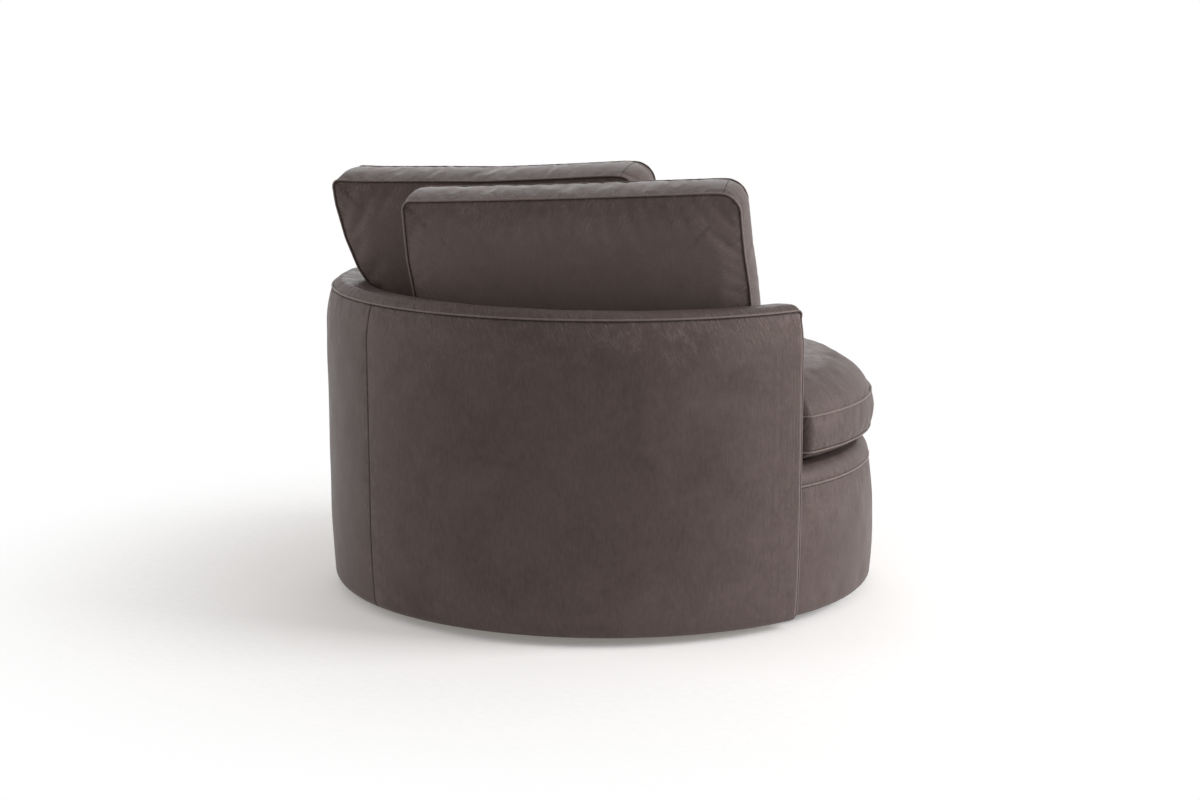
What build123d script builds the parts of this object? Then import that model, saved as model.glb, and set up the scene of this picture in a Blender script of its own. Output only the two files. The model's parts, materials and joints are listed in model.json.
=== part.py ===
from build123d import *
import math
import os

# Round upholstered swivel chair on a hidden plinth. Millimetres, +Z up, front towards -Y.
# The origin is on the swivel axis at floor level.

# Driving dimensions: outside of the shell and the upholstered base
shell_radius = 575.0
hem_height = 15.0
hem_set_in = 18.0
hem_fold = 12.0
hem_round = 24.0
belly_height = 215.0
shoulder_height = 545.0
rim_height = 624.0
rim_set_in = 16.0
wall_thickness = 91.0
rim_crown = 11.0
arm_front_y = -43.0
base_set_in = 18.0
base_hem_set_in = 25.0
base_belly_height = 150.0
base_welt_set_in = 19.0
base_welt_height = 273.0

# Upholstery layers
leather = 2.0
inner_pad = 4.0
arm_pad = 12.0
welt_radius = 3.0
rim_welt_slope = 36.0
seat_upper_welt_slope = 30.0
seat_lower_welt_slope = -24.0
gap = 0.4
round_share = 0.7
roll_share = 0.22

# Timber of the shell and the base
bent_board = 6.0
back_board = 4.0
rail_thickness = 24.0
arm_board = 12.0
rib_thickness = 24.0
rib_count = 7
shell_board_bottom = 48.0
shell_board_top = 590.0
ring_width = 84.0
seat_ring_width = 64.0
seat_ring_top = 286.0
apron_board_set_in = 27.0
post_side = 45.0
post_count = 10
cross_rail_width = 60.0
cross_rail_height = 40.0
cross_rail_offset = 78.0

# Seat suspension and deck
webbing_width = 50.0
webbing_thickness = 2.0
webbing_count = 7
webbing_pitch = 100.0
deck_pad_thickness = 19.0
deck_cloth = 1.5

# Seat cushion
seat_tuck_rise = 28.0
seat_boxing_height = 71.0
seat_shoulder_rise = 54.0
seat_crown_rise = 16.0
seat_lower_welt_set_in = 33.0
seat_upper_welt_set_in = 39.0
seat_boxing_bulge = 10.0
seat_shoulder_set_in = 106.0
seat_flat_radius = 80.0
cover_thickness = 3.0

# Back cushions
cushion_boxing = 22.0
cushion_edge_inset = 14.0
lean_angle = 7.0
roll_angle = 2.5
right_cushion_bearing = 135.4
right_cushion_distance_share = 0.7368
right_cushion_half_share = 0.6674
right_cushion_thickness = 130.0
right_cushion_top = 832.0
left_cushion_bearing = 129.0
left_cushion_distance_share = 0.3843
left_cushion_left_share = 1.0413
left_cushion_right_share = 0.2769
left_cushion_squeeze_share = 0.1417
left_cushion_thickness = 140.0
left_cushion_top = 847.0
cushion_draw_in = 4.0
cushion_bulge_back = 9.0
cushion_bulge_front = 13.0
cushion_bulge_side = 3.6
edge_swell = 0.1
boxing_swell = 0.45
side_swell = 0.9
lower_level = 0.28
upper_level = 0.74
middle_squeeze = 0.8
upper_squeeze = 0.36
boxing_squeeze = 0.08
right_cushion_sink = 3.8
left_cushion_lift = 4.0

# Floor plinth and swivel bearing
glide_radius = 15.0
glide_height = 5.0
glide_count = 8
glide_pin_radius = 2.0
glide_pin_length = 12.0
plinth_radius = 300.0
plinth_ring_width = 60.0
plinth_ring_height = 24.0
plinth_board_thickness = 18.0
plate_side = 210.0
plate_thickness = 3.0
plate_corner = 18.0
race_radius = 70.0
race_band = 26.0
ball_radius = 4.75
ball_count = 12
ball_clearance = 0.05
race_depth = 2.5
bearing_height = 22.0
cage_thickness = 1.6
king_pin_radius = 8.0
king_pin_head_radius = 14.0
king_pin_head = 6.0
bush_wall = 3.0
running_fit = 0.05
nut_width = 24.0
nut_height = 13.0
washer_radius = 17.0
washer_thickness = 2.5
screw_radius = 3.0
screw_head_radius = 6.0
screw_head = 3.0
screw_offset = 88.0
lower_screw_length = 16.0
upper_bolt_length = 30.0

# Radii that follow from the outside of the shell
hem_radius = shell_radius - hem_set_in
rim_outer_radius = shell_radius - rim_set_in
rim_inner_radius = shell_radius - wall_thickness
base_radius = shell_radius - base_set_in
base_hem_radius = base_radius - base_hem_set_in
base_welt_radius = base_radius - base_welt_set_in
apron_board_radius = base_radius - apron_board_set_in
ring_inner_radius = rim_inner_radius - ring_width
seat_ring_inner_radius = rim_inner_radius - seat_ring_width
seat_lower_welt_radius = shell_radius - seat_lower_welt_set_in
seat_upper_welt_radius = shell_radius - seat_upper_welt_set_in
seat_shoulder_radius = seat_upper_welt_radius - seat_shoulder_set_in

# Back cushions fitted to the room inside the wall
right_cushion_distance = right_cushion_distance_share * rim_inner_radius
right_cushion_half = right_cushion_half_share * rim_inner_radius
left_cushion_distance = left_cushion_distance_share * rim_inner_radius
left_cushion_left = left_cushion_left_share * rim_inner_radius
left_cushion_right = left_cushion_right_share * rim_inner_radius
left_cushion_squeeze = left_cushion_squeeze_share * rim_inner_radius

# Heights that follow from the stack on the floor
plinth_ring_bottom = glide_height
plinth_board_bottom = plinth_ring_bottom + plinth_ring_height
plate_bottom = plinth_board_bottom + plinth_board_thickness
upper_plate_bottom = plate_bottom + bearing_height
rail_bottom = upper_plate_bottom + plate_thickness
ring_bottom = rail_bottom - rail_thickness
seat_ring_bottom = seat_ring_top - rail_thickness
deck_pad_bottom = seat_ring_top + 2 * webbing_thickness
deck_top = deck_pad_bottom + deck_pad_thickness + deck_cloth
seat_bottom_height = deck_top + gap
seat_lower_welt_height = seat_bottom_height + seat_tuck_rise
seat_upper_welt_height = seat_lower_welt_height + seat_boxing_height
seat_shoulder_height = seat_upper_welt_height + seat_shoulder_rise
seat_crown_height = seat_shoulder_height + seat_crown_rise
right_cushion_foot = seat_crown_height - right_cushion_sink
left_cushion_foot = seat_crown_height + left_cushion_lift
far = 2000.0


def profile_face(*edges):
    """Face in the radius and height plane, closed by the given edges."""
    return Face(Wire(edges))


def line(a, b):
    """Straight edge between two radius and height points."""
    return Line((a[0], 0, a[1]), (b[0], 0, b[1]))


def arc(a, m, b):
    """Arc through three radius and height points."""
    return ThreePointArc((a[0], 0, a[1]), (m[0], 0, m[1]), (b[0], 0, b[1]))


def turned(*edges):
    """Solid of revolution about the swivel axis."""
    return revolve(profile_face(*edges), Axis.Z, 360)


def ring(inner, outer, bottom, top):
    """Plain ring about the swivel axis."""
    height = top - bottom
    body = Cylinder(outer, height, align=(Align.CENTER, Align.CENTER, Align.MIN))
    if inner > 0:
        body -= Cylinder(inner, height, align=(Align.CENTER, Align.CENTER, Align.MIN))
    return Pos(0, 0, bottom) * body


def slab(y_low, y_high):
    """Everything between two planes across the chair."""
    return Pos(0, (y_low + y_high) / 2, 0) * Box(far, y_high - y_low, far)


def side_half(sign):
    """Everything on one side of the centre plane."""
    return Pos(sign * far / 4, 0, 0) * Box(far / 2, far, far)


def polar(radius, angle, height=0.0):
    """Point on a circle about the swivel axis."""
    return (radius * math.cos(math.radians(angle)), radius * math.sin(math.radians(angle)), height)


def outer_points(inset):
    """Outside curve of the shell, moved inwards by an inset: hem, belly, shoulder and welt line."""
    hem_mid = hem_round * round_share
    return {
        "fold": (hem_radius - hem_fold - hem_fold, hem_height + inset),
        "hem": (hem_radius - hem_fold, hem_height + inset),
        "turn": (hem_radius - hem_fold + hem_mid - round_share * inset,
                 hem_height + hem_round - hem_mid + round_share * inset),
        "side": (hem_radius + hem_round - hem_fold - inset, hem_height + hem_round),
        "flank": ((3 * shell_radius + hem_radius + hem_round - hem_fold) / 4 - inset,
                  (belly_height + hem_height + hem_round) / 2),
        "belly": (shell_radius - inset, belly_height),
        "shoulder": (shell_radius - inset, shoulder_height),
        "roll": (shell_radius - roll_share * (shell_radius - rim_outer_radius) - inset,
                 (shoulder_height + rim_height) / 2),
        "welt": (rim_outer_radius - inset, rim_height - inset / 2),
    }


def outer_edges(inset):
    """The outside curve from the hem fold up to the welt."""
    p = outer_points(inset)
    return [
        line(p["fold"], p["hem"]),
        arc(p["hem"], p["turn"], p["side"]),
        arc(p["side"], p["flank"], p["belly"]),
        line(p["belly"], p["shoulder"]),
        arc(p["shoulder"], p["roll"], p["welt"]),
    ]


def rim_points(inset):
    """Crowned rim line from the outer welt to the inner edge."""
    middle = (rim_outer_radius + rim_inner_radius) / 2
    return {
        "outer": (rim_outer_radius - inset, rim_height - inset / 2),
        "crown": (middle, rim_height + rim_crown - inset),
        "inner": (rim_inner_radius + inset, rim_height - inset / 2),
    }


def wall_solid(inset):
    """The whole wall section turned round: hem, outside, rim, inside."""
    o = outer_points(inset)
    r = rim_points(inset)
    inside_low = (rim_inner_radius + inset, hem_height + inset)
    return turned(
        *outer_edges(inset),
        arc(r["outer"], r["crown"], r["inner"]),
        line(r["inner"], inside_low),
        line(inside_low, o["fold"]),
    )


def base_points(inset):
    """Outside curve of the base front: hem, belly and welt line."""
    hem_mid = hem_round * round_share
    side = (base_hem_radius - hem_fold + hem_round, hem_height + hem_round)
    return {
        "fold": (base_hem_radius - hem_fold - hem_fold, hem_height + inset),
        "hem": (base_hem_radius - hem_fold, hem_height + inset),
        "turn": (base_hem_radius - hem_fold + hem_mid - round_share * inset,
                 hem_height + hem_round - hem_mid + round_share * inset),
        "side": (side[0] - inset, side[1]),
        "belly": (base_radius - inset, base_belly_height),
        "welt": (base_welt_radius - inset, base_welt_height - inset / 2),
    }


def base_edges(inset):
    """The base front curve from the hem fold up to the welt."""
    p = base_points(inset)
    return [
        line(p["fold"], p["hem"]),
        arc(p["hem"], p["turn"], p["side"]),
        arc(p["side"], p["belly"], p["welt"]),
    ]


def strip_between(outer_list, inner_list):
    """Face between two like curves, closed across both ends."""
    start = outer_list[0] @ 0
    end = outer_list[-1] @ 1
    inner_start = inner_list[0] @ 0
    inner_end = inner_list[-1] @ 1
    return profile_face(*outer_list, Line(end, inner_end), *inner_list, Line(inner_start, start))


# Regions of the plan: behind the arm fronts, and in front of them
arm_board_front = arm_front_y + leather + arm_pad
layers_front = arm_board_front + arm_board
behind_arm_boards = slab(layers_front, far / 2)
behind_arm_pads = slab(arm_board_front, far / 2)
ahead_of_arms = slab(-far / 2, arm_front_y - gap)
pieces = {}

# Floor plinth: glides, ring and board
glide_circle = plinth_radius - plinth_ring_width / 2
glide = Cylinder(glide_radius, glide_height, align=(Align.CENTER, Align.CENTER, Align.MIN))
glide = fillet(glide.edges().group_by(Axis.Z)[0], glide_height / 4)
glide = glide + Pos(0, 0, glide_height / 2) * Cylinder(
    glide_pin_radius, glide_height / 2 + glide_pin_length, align=(Align.CENTER, Align.CENTER, Align.MIN))
glide_places = [Pos(*polar(glide_circle, 360 * (i + 0.5) / glide_count)) for i in range(glide_count)]
pieces["glides"] = Compound(children=[place * glide for place in glide_places])
plinth_ring = ring(plinth_radius - plinth_ring_width, plinth_radius, plinth_ring_bottom, plinth_board_bottom)
glide_hole = Cylinder(glide_pin_radius, glide_height + glide_pin_length + gap,
                      align=(Align.CENTER, Align.CENTER, Align.MIN))
for place in glide_places:
    plinth_ring -= place * glide_hole
pieces["plinth_ring"] = plinth_ring

plinth_board = ring(0, plinth_radius, plinth_board_bottom, plate_bottom)
head_pocket = ring(0, king_pin_head_radius + gap, plinth_board_bottom, plate_bottom)
screw_spots = [(sx * screw_offset, sy * screw_offset) for sx in (-1, 1) for sy in (-1, 1)]
screw_hole = Cylinder(screw_radius, lower_screw_length, align=(Align.CENTER, Align.CENTER, Align.MAX))
plinth_board -= head_pocket
for spot in screw_spots:
    plinth_board -= Pos(spot[0], spot[1], plate_bottom) * screw_hole
pieces["plinth_board"] = plinth_board

# Swivel bearing: two pressed plates with grooved races, balls in a cage, and the king pin
ball_height = plate_bottom + plate_thickness + (bearing_height - plate_thickness) / 2
race_inner = race_radius - race_band / 2
race_outer = race_radius + race_band / 2
groove_radius = ball_radius + ball_clearance


def plate_blank(bottom):
    """Square steel plate with round corners."""
    blank = extrude(RectangleRounded(plate_side, plate_side, plate_corner), plate_thickness)
    return Pos(0, 0, bottom) * blank


ball_groove = Pos(0, 0, ball_height) * Torus(race_radius, groove_radius)
lower_race_top = ball_height - ball_radius + race_depth
upper_race_bottom = ball_height + ball_radius - race_depth
screw_clear = Cylinder(screw_radius, far, align=(Align.CENTER, Align.CENTER, Align.CENTER))
lower_plate = plate_blank(plate_bottom)
lower_plate += ring(race_inner, race_outer, plate_bottom + plate_thickness, lower_race_top)
lower_plate -= ball_groove
lower_plate -= ring(0, king_pin_radius, plate_bottom, plate_bottom + plate_thickness)
upper_plate = plate_blank(upper_plate_bottom)
upper_plate += ring(race_inner, race_outer, upper_race_bottom, upper_plate_bottom)
upper_plate -= ball_groove
bush_outer = king_pin_radius + running_fit + bush_wall
upper_plate -= ring(0, bush_outer, upper_plate_bottom, rail_bottom)
for spot in screw_spots:
    lower_plate -= Pos(spot[0], spot[1], 0) * screw_clear
    upper_plate -= Pos(spot[0], spot[1], 0) * screw_clear
pieces["swivel_lower_plate"] = lower_plate
pieces["swivel_upper_plate"] = upper_plate
ball_places = [Pos(*polar(race_radius, 360 * i / ball_count, ball_height)) for i in range(ball_count)]
pieces["bearing_balls"] = Compound(children=[place * Sphere(ball_radius) for place in ball_places])
cage = ring(race_inner, race_outer, ball_height - cage_thickness / 2, ball_height + cage_thickness / 2)
for place in ball_places:
    cage -= place * Sphere(groove_radius + gap)
pieces["ball_cage"] = cage
bush_bottom = plate_bottom + plate_thickness + gap
pieces["pivot_bush"] = ring(king_pin_radius + running_fit, bush_outer, bush_bottom, rail_bottom)
pin_head_bottom = plate_bottom - king_pin_head
washer_bottom = rail_bottom + running_fit
nut_bottom = washer_bottom + washer_thickness
pin_top = nut_bottom + nut_height + king_pin_radius / 2
king_pin = ring(0, king_pin_radius, plate_bottom, pin_top)
king_pin += ring(0, king_pin_head_radius, pin_head_bottom, plate_bottom)
pieces["king_pin"] = chamfer(king_pin.edges().group_by(Axis.Z)[-1], king_pin_radius / 8)
pieces["king_pin_washer"] = ring(king_pin_radius, washer_radius, washer_bottom, nut_bottom)
nut = extrude(RegularPolygon(nut_width / 2, 6, major_radius=False), nut_height)
nut -= Cylinder(king_pin_radius, far)
pieces["king_pin_nut"] = Pos(0, 0, nut_bottom) * nut


def bolt(length):
    """Pan head bolt: shank upwards from the head's seat at zero, head below it."""
    shank = Cylinder(screw_radius, length, align=(Align.CENTER, Align.CENTER, Align.MIN))
    head = Cylinder(screw_head_radius, screw_head, align=(Align.CENTER, Align.CENTER, Align.MAX))
    head = fillet(head.edges().group_by(Axis.Z)[0], screw_head / 2)
    return shank + head


lower_screw = Rot(180, 0, 0) * bolt(plate_thickness + lower_screw_length)
lower_seat = plate_bottom + plate_thickness
pieces["lower_plate_screws"] = Compound(
    children=[Pos(x, y, lower_seat) * lower_screw for x, y in screw_spots])
upper_bolt = bolt(plate_thickness + upper_bolt_length)
pieces["upper_plate_bolts"] = Compound(
    children=[Pos(x, y, upper_plate_bottom) * upper_bolt for x, y in screw_spots])

# Base timber: bottom ring, cross rails, posts, seat ring and front apron board
inner_board_radius = rim_inner_radius + leather + inner_pad


def frame_ring(inner, bottom, top):
    """Plywood ring that is wider ahead of the arms and meets the shell board behind them."""
    between_arms = ring(inner, rim_inner_radius - gap, bottom, top)
    wide = ring(inner, apron_board_radius, bottom, top) & ahead_of_arms
    behind = ring(inner, inner_board_radius, bottom, top) & behind_arm_boards
    return between_arms + wide + behind


rail_top = rail_bottom + cross_rail_height
pieces["bottom_frame_ring"] = frame_ring(ring_inner_radius, ring_bottom, rail_bottom)
rail_reach = ring(0, inner_board_radius - post_side - gap, rail_bottom, rail_top)
bolt_hole = Cylinder(screw_radius, upper_bolt_length, align=(Align.CENTER, Align.CENTER, Align.MIN))
for name, side in (("cross_rail_front", -1), ("cross_rail_rear", 1)):
    rail = Pos(0, side * cross_rail_offset, (rail_bottom + rail_top) / 2) * Box(
        far, cross_rail_width, cross_rail_height)
    rail = rail & rail_reach
    for x, y in screw_spots:
        rail -= Pos(x, y, rail_bottom) * bolt_hole
    pieces[name] = rail
post_circle = inner_board_radius - post_side / 2 - gap
post_height = seat_ring_bottom - rail_bottom
post = Box(post_side, post_side, post_height, align=(Align.CENTER, Align.CENTER, Align.MIN))
post = Pos(post_circle - post_side / 8, 0, rail_bottom) * post
post_spin = 360 / post_count
posts = [Rot(0, 0, post_spin * i + 90) * post for i in range(post_count)]
pieces["frame_posts"] = Compound(children=posts)
pieces["seat_frame_ring"] = frame_ring(seat_ring_inner_radius, seat_ring_bottom, seat_ring_top)
apron_board_face = apron_board_radius + bent_board
apron_board_top = base_welt_height - hem_fold
apron_board = ring(apron_board_radius, apron_board_face, shell_board_bottom, apron_board_top)
pieces["apron_board"] = apron_board & ahead_of_arms

# Base front upholstery: padding and leather over the apron board, and the welt along its top
pad_fold = base_points(leather)["fold"]
pad_top = base_points(leather)["welt"]
pad_back_high = (apron_board_radius, pad_top[1])
pad_back_low = (apron_board_radius, pad_fold[1] + hem_round)
apron_pad = turned(
    *base_edges(leather),
    line(pad_top, pad_back_high),
    line(pad_back_high, pad_back_low),
    line(pad_back_low, pad_fold),
)
apron_pad -= ring(0, apron_board_face, shell_board_bottom, apron_board_top)
apron_pad -= ring(0, apron_board_radius, ring_bottom - deck_cloth, seat_ring_top)
pieces["apron_padding"] = apron_pad & ahead_of_arms
apron_skin = revolve(strip_between(base_edges(0), base_edges(leather)), Axis.Z, 360)
pieces["apron_leather"] = apron_skin & ahead_of_arms

# Shell timber: inner and outer boards, rails, ribs and arm front boards
rib_inner = inner_board_radius + bent_board
outer_board_radius = shell_radius - hem_fold + back_board - leather
rib_outer = outer_board_radius - back_board
inner_board = ring(inner_board_radius, rib_inner, ring_bottom, shell_board_top)
pieces["shell_inner_board"] = inner_board & behind_arm_boards
outer_board = ring(rib_outer, outer_board_radius, shell_board_bottom, shell_board_top)
pieces["shell_outer_board"] = outer_board & behind_arm_boards
rail_low = shell_board_bottom + rail_thickness
rail_high = shell_board_top - rail_thickness
pieces["shell_bottom_rail"] = ring(rib_inner, rib_outer, shell_board_bottom, rail_low) & behind_arm_boards
pieces["shell_top_rail"] = ring(rib_inner, rib_outer, rail_high, shell_board_top) & behind_arm_boards
rib_angles = [180 * (i + 1) / (rib_count + 1) for i in range(rib_count)]
rib_zone = ring(rib_inner, rib_outer, rail_low, rail_high)
rib = Box(far / 2, rib_thickness, far, align=(Align.MIN, Align.CENTER, Align.CENTER))
pieces["shell_ribs"] = Compound(children=[(Rot(0, 0, angle) * rib) & rib_zone for angle in rib_angles])

# Shell upholstery: padding round the timber, and the leather over it
whole_wall = wall_solid(0)
wall_under_leather = wall_solid(leather)
above_timber = ring(0, far / 2, shell_board_top, far / 2)
outside_zone = ring(outer_board_radius, far / 2, hem_height, shell_board_top)
rim_pad = wall_under_leather & above_timber
pieces["rim_padding"] = rim_pad & behind_arm_pads
outer_pad = wall_under_leather & outside_zone
pieces["shell_outer_padding"] = outer_pad & behind_arm_pads
inner_pad_ring = ring(rim_inner_radius + leather, inner_board_radius, deck_top, shell_board_top)
pieces["shell_inner_padding"] = inner_pad_ring & behind_arm_pads
outer_skin = revolve(strip_between(outer_edges(0), outer_edges(leather)), Axis.Z, 360) & behind_arm_pads
pieces["outer_leather_left"] = outer_skin & side_half(1)
pieces["outer_leather_right"] = outer_skin & side_half(-1)
rim_top = rim_points(0)
rim_under = rim_points(leather)
rim_skin = turned(
    arc(rim_top["outer"], rim_top["crown"], rim_top["inner"]),
    line(rim_top["inner"], rim_under["inner"]),
    arc(rim_under["inner"], rim_under["crown"], rim_under["outer"]),
    line(rim_under["outer"], rim_top["outer"]),
)
pieces["rim_leather"] = rim_skin & behind_arm_pads
inner_skin = turned(
    line((rim_inner_radius, deck_top), rim_top["inner"]),
    line(rim_top["inner"], rim_under["inner"]),
    line(rim_under["inner"], (rim_inner_radius + leather, deck_top)),
    line((rim_inner_radius + leather, deck_top), (rim_inner_radius, deck_top)),
)
pieces["inner_leather"] = inner_skin & behind_arm_pads

# Arm fronts: board, padding and leather facing across the end of the wall
board_wall = ring(inner_board_radius, outer_board_radius, shell_board_bottom, shell_board_top)
arm_layers = (
    ("arm_front_board", arm_board_front, layers_front, board_wall),
    ("arm_front_padding", arm_front_y + leather, arm_board_front, wall_under_leather),
    ("arm_front_leather", arm_front_y, arm_front_y + leather, whole_wall),
)
for name, front, back, section in arm_layers:
    layer = section & slab(front, back)
    for label, sign in (("left", 1), ("right", -1)):
        pieces[f"{name}_{label}"] = layer & side_half(sign)

# Suspension and deck: webbing both ways, felt pad, deck cloth and the padded front border
strap_span = ring(0, rim_inner_radius - 2 * gap, 0, far / 2)
strap_middle = (webbing_count - 1) / 2
lengthwise = []
crosswise = []
for i in range(webbing_count):
    place = (i - strap_middle) * webbing_pitch
    strap_low = seat_ring_top + webbing_thickness / 2
    along = Pos(place, 0, strap_low) * Box(webbing_width, far, webbing_thickness)
    across = Pos(0, place, strap_low + webbing_thickness) * Box(far, webbing_width, webbing_thickness)
    lengthwise.append(along & strap_span)
    crosswise.append(across & strap_span)
pieces["webbing_lengthwise"] = Compound(children=lengthwise)
pieces["webbing_crosswise"] = Compound(children=crosswise)
deck_edge = rim_inner_radius - gap
pieces["deck_pad"] = ring(0, deck_edge, deck_pad_bottom, deck_pad_bottom + deck_pad_thickness)
pieces["deck_cloth"] = ring(0, deck_edge, deck_pad_bottom + deck_pad_thickness, deck_top)
border_top = seat_bottom_height - gap
border_foot = base_welt_height + 2 * welt_radius
border_heel = (apron_board_radius, seat_ring_top)
border_back_low = (deck_edge, seat_ring_top)
border_back_high = (deck_edge, border_top)
border_lip = (apron_board_radius - hem_fold / 2, border_top)
border_round = (base_welt_radius - 2 * welt_radius + leather, seat_bottom_height - hem_fold / 2)
border_toe = (base_welt_radius - welt_radius, border_foot)
border_step = (apron_board_radius, border_foot)
border = turned(
    line(border_heel, border_back_low),
    line(border_back_low, border_back_high),
    line(border_back_high, border_lip),
    arc(border_lip, border_round, border_toe),
    line(border_toe, border_step),
    line(border_step, border_heel),
)
pieces["deck_border"] = border & ahead_of_arms


# Welts: round piping laid along the sewn edges
def welt(edge_radius, edge_height, slope):
    """Ring of piping that lies on an edge, out along the slope of the edge's outward direction."""
    reach = welt_radius + gap
    out = reach * math.cos(math.radians(slope))
    lift = reach * math.sin(math.radians(slope))
    return Pos(0, 0, edge_height + lift) * Torus(edge_radius + out, welt_radius)


base_welt = Pos(0, 0, base_welt_height + welt_radius) * Torus(base_welt_radius - welt_radius, welt_radius)
pieces["base_welt"] = base_welt & ahead_of_arms
pieces["rim_welt"] = welt(rim_outer_radius, rim_height, rim_welt_slope) & behind_arm_pads
pieces["seat_upper_welt"] = welt(
    seat_upper_welt_radius, seat_upper_welt_height, seat_upper_welt_slope) & ahead_of_arms
pieces["seat_lower_welt"] = welt(
    seat_lower_welt_radius, seat_lower_welt_height, seat_lower_welt_slope) & ahead_of_arms


# Seat cushion: crowned cover on a foam core, cut back where it goes between the arms
def seat_section(inset):
    """Seat cushion section: flat underside, bulging boxing, shoulder and crown."""
    low_welt = (seat_lower_welt_radius - inset, seat_lower_welt_height)
    top_welt = (seat_upper_welt_radius - inset, seat_upper_welt_height)
    bulge_radius = (seat_lower_welt_radius + seat_upper_welt_radius) / 2 + seat_boxing_bulge
    bulge = (bulge_radius - inset, (seat_lower_welt_height + seat_upper_welt_height) / 2)
    underside = seat_bottom_height + inset
    tuck = (seat_lower_welt_radius - hem_round - inset, underside)
    tuck_mid = (seat_lower_welt_radius - hem_round / 4 - inset,
                underside + (seat_lower_welt_height - seat_bottom_height) / 3)
    shoulder = (seat_shoulder_radius - inset / 2, seat_shoulder_height - inset)
    shoulder_mid = ((seat_shoulder_radius + 2 * seat_upper_welt_radius) / 3 - inset,
                    (2 * seat_shoulder_height + seat_upper_welt_height) / 3 - inset)
    crown_mid = ((seat_shoulder_radius + seat_flat_radius) / 2,
                 (seat_shoulder_height + 3 * seat_crown_height) / 4 - inset)
    flat = (seat_flat_radius, seat_crown_height - inset)
    top = (0, seat_crown_height - inset)
    return turned(
        line((0, underside), tuck),
        arc(tuck, tuck_mid, low_welt),
        arc(low_welt, bulge, top_welt),
        arc(top_welt, shoulder_mid, shoulder),
        arc(shoulder, crown_mid, flat),
        line(flat, top),
        line(top, (0, underside)),
    )


def seat_cut(inset):
    """The room that the arms take from the seat cushion behind their fronts."""
    beside = ring(rim_inner_radius - 3 * gap - inset, far / 2, 0, far / 2)
    return beside & slab(arm_front_y - 3 * gap - inset, far / 2)


seat_outside = seat_section(0) - seat_cut(0)
seat_inside = seat_section(cover_thickness) - seat_cut(cover_thickness)
pieces["seat_cushion_cover"] = seat_outside - seat_inside
pieces["seat_cushion_core"] = seat_inside


# Back cushions: crowned box cushions lofted up their height, drawn in at the sides
def cushion_section(height, left, right, thickness, bulge_back, bulge_front, side_bulge):
    """Level section of a cushion: four shallow arcs, back face on the zero line."""
    middle = (right - left) / 2
    back_left = (-left, 0, height)
    back_right = (right, 0, height)
    front_right = (right, thickness, height)
    front_left = (-left, thickness, height)
    return Wire([
        ThreePointArc(back_left, (middle, -bulge_back, height), back_right),
        ThreePointArc(back_right, (right + side_bulge, thickness / 2, height), front_right),
        ThreePointArc(front_right, (middle, thickness + bulge_front, height), front_left),
        ThreePointArc(front_left, (-left - side_bulge, thickness / 2, height), back_left),
    ])


def cushion(height, left, right, thickness, squeeze):
    """Cushion standing on its lower edge; squeeze draws the left end in below the rim."""
    inset = cushion_edge_inset
    levels = (
        (0.0, squeeze + inset, inset, inset, edge_swell),
        (cushion_boxing, squeeze, 0.0, 0.0, boxing_swell),
        (height * lower_level, squeeze + cushion_draw_in, cushion_draw_in, 0.0, side_swell),
        (height / 2, middle_squeeze * squeeze + cushion_draw_in, cushion_draw_in, 0.0, 1.0),
        (height * upper_level, upper_squeeze * squeeze + cushion_draw_in, cushion_draw_in, 0.0, side_swell),
        (height - cushion_boxing, boxing_squeeze * squeeze, 0.0, 0.0, boxing_swell),
        (height, inset, inset, inset, edge_swell),
    )
    wires = []
    for level, left_in, right_in, thin, swell in levels:
        section = cushion_section(
            level, left - left_in, right - right_in, thickness - 2 * thin,
            swell * cushion_bulge_back, swell * cushion_bulge_front, cushion_bulge_side)
        wires.append(Pos(0, thin, 0) * section)
    return Solid.make_loft(wires)


def stand(solid, bearing, distance, bottom):
    """Places a cushion: its back faces the bearing, leans outwards and is rolled a little."""
    outward = Vector(*polar(1, bearing))
    along = Vector(*polar(1, bearing + 90))
    up = outward * math.sin(math.radians(lean_angle)) + Vector(0, 0, math.cos(math.radians(lean_angle)))
    foot_distance = distance - (rim_height - bottom) * math.tan(math.radians(lean_angle))
    foot = outward * foot_distance + Vector(0, 0, bottom)
    return Plane(origin=foot, x_dir=along, z_dir=up).location * solid


lean_cosine = math.cos(math.radians(lean_angle))
right_height = (right_cushion_top - right_cushion_foot) / lean_cosine
right_solid = cushion(right_height, right_cushion_half, right_cushion_half, right_cushion_thickness, 0.0)
pieces["right_back_cushion"] = stand(
    Rot(0, -roll_angle, 0) * right_solid, right_cushion_bearing, right_cushion_distance, right_cushion_foot)
left_height = (left_cushion_top - left_cushion_foot) / lean_cosine
left_solid = cushion(left_height, left_cushion_left, left_cushion_right, left_cushion_thickness,
                     left_cushion_squeeze)
pieces["left_back_cushion"] = stand(
    Rot(0, -roll_angle, 0) * left_solid, left_cushion_bearing, left_cushion_distance, left_cushion_foot)

# Dust cover under the bottom ring
pieces["dust_cover"] = frame_ring(plinth_radius + hem_round, ring_bottom - deck_cloth, ring_bottom)

os.makedirs("parts", exist_ok=True)
for name, solid in pieces.items():
    export_step(solid, f"parts/{name}.step")
    print(name, round(solid.volume / 1000), "cm3")
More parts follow.
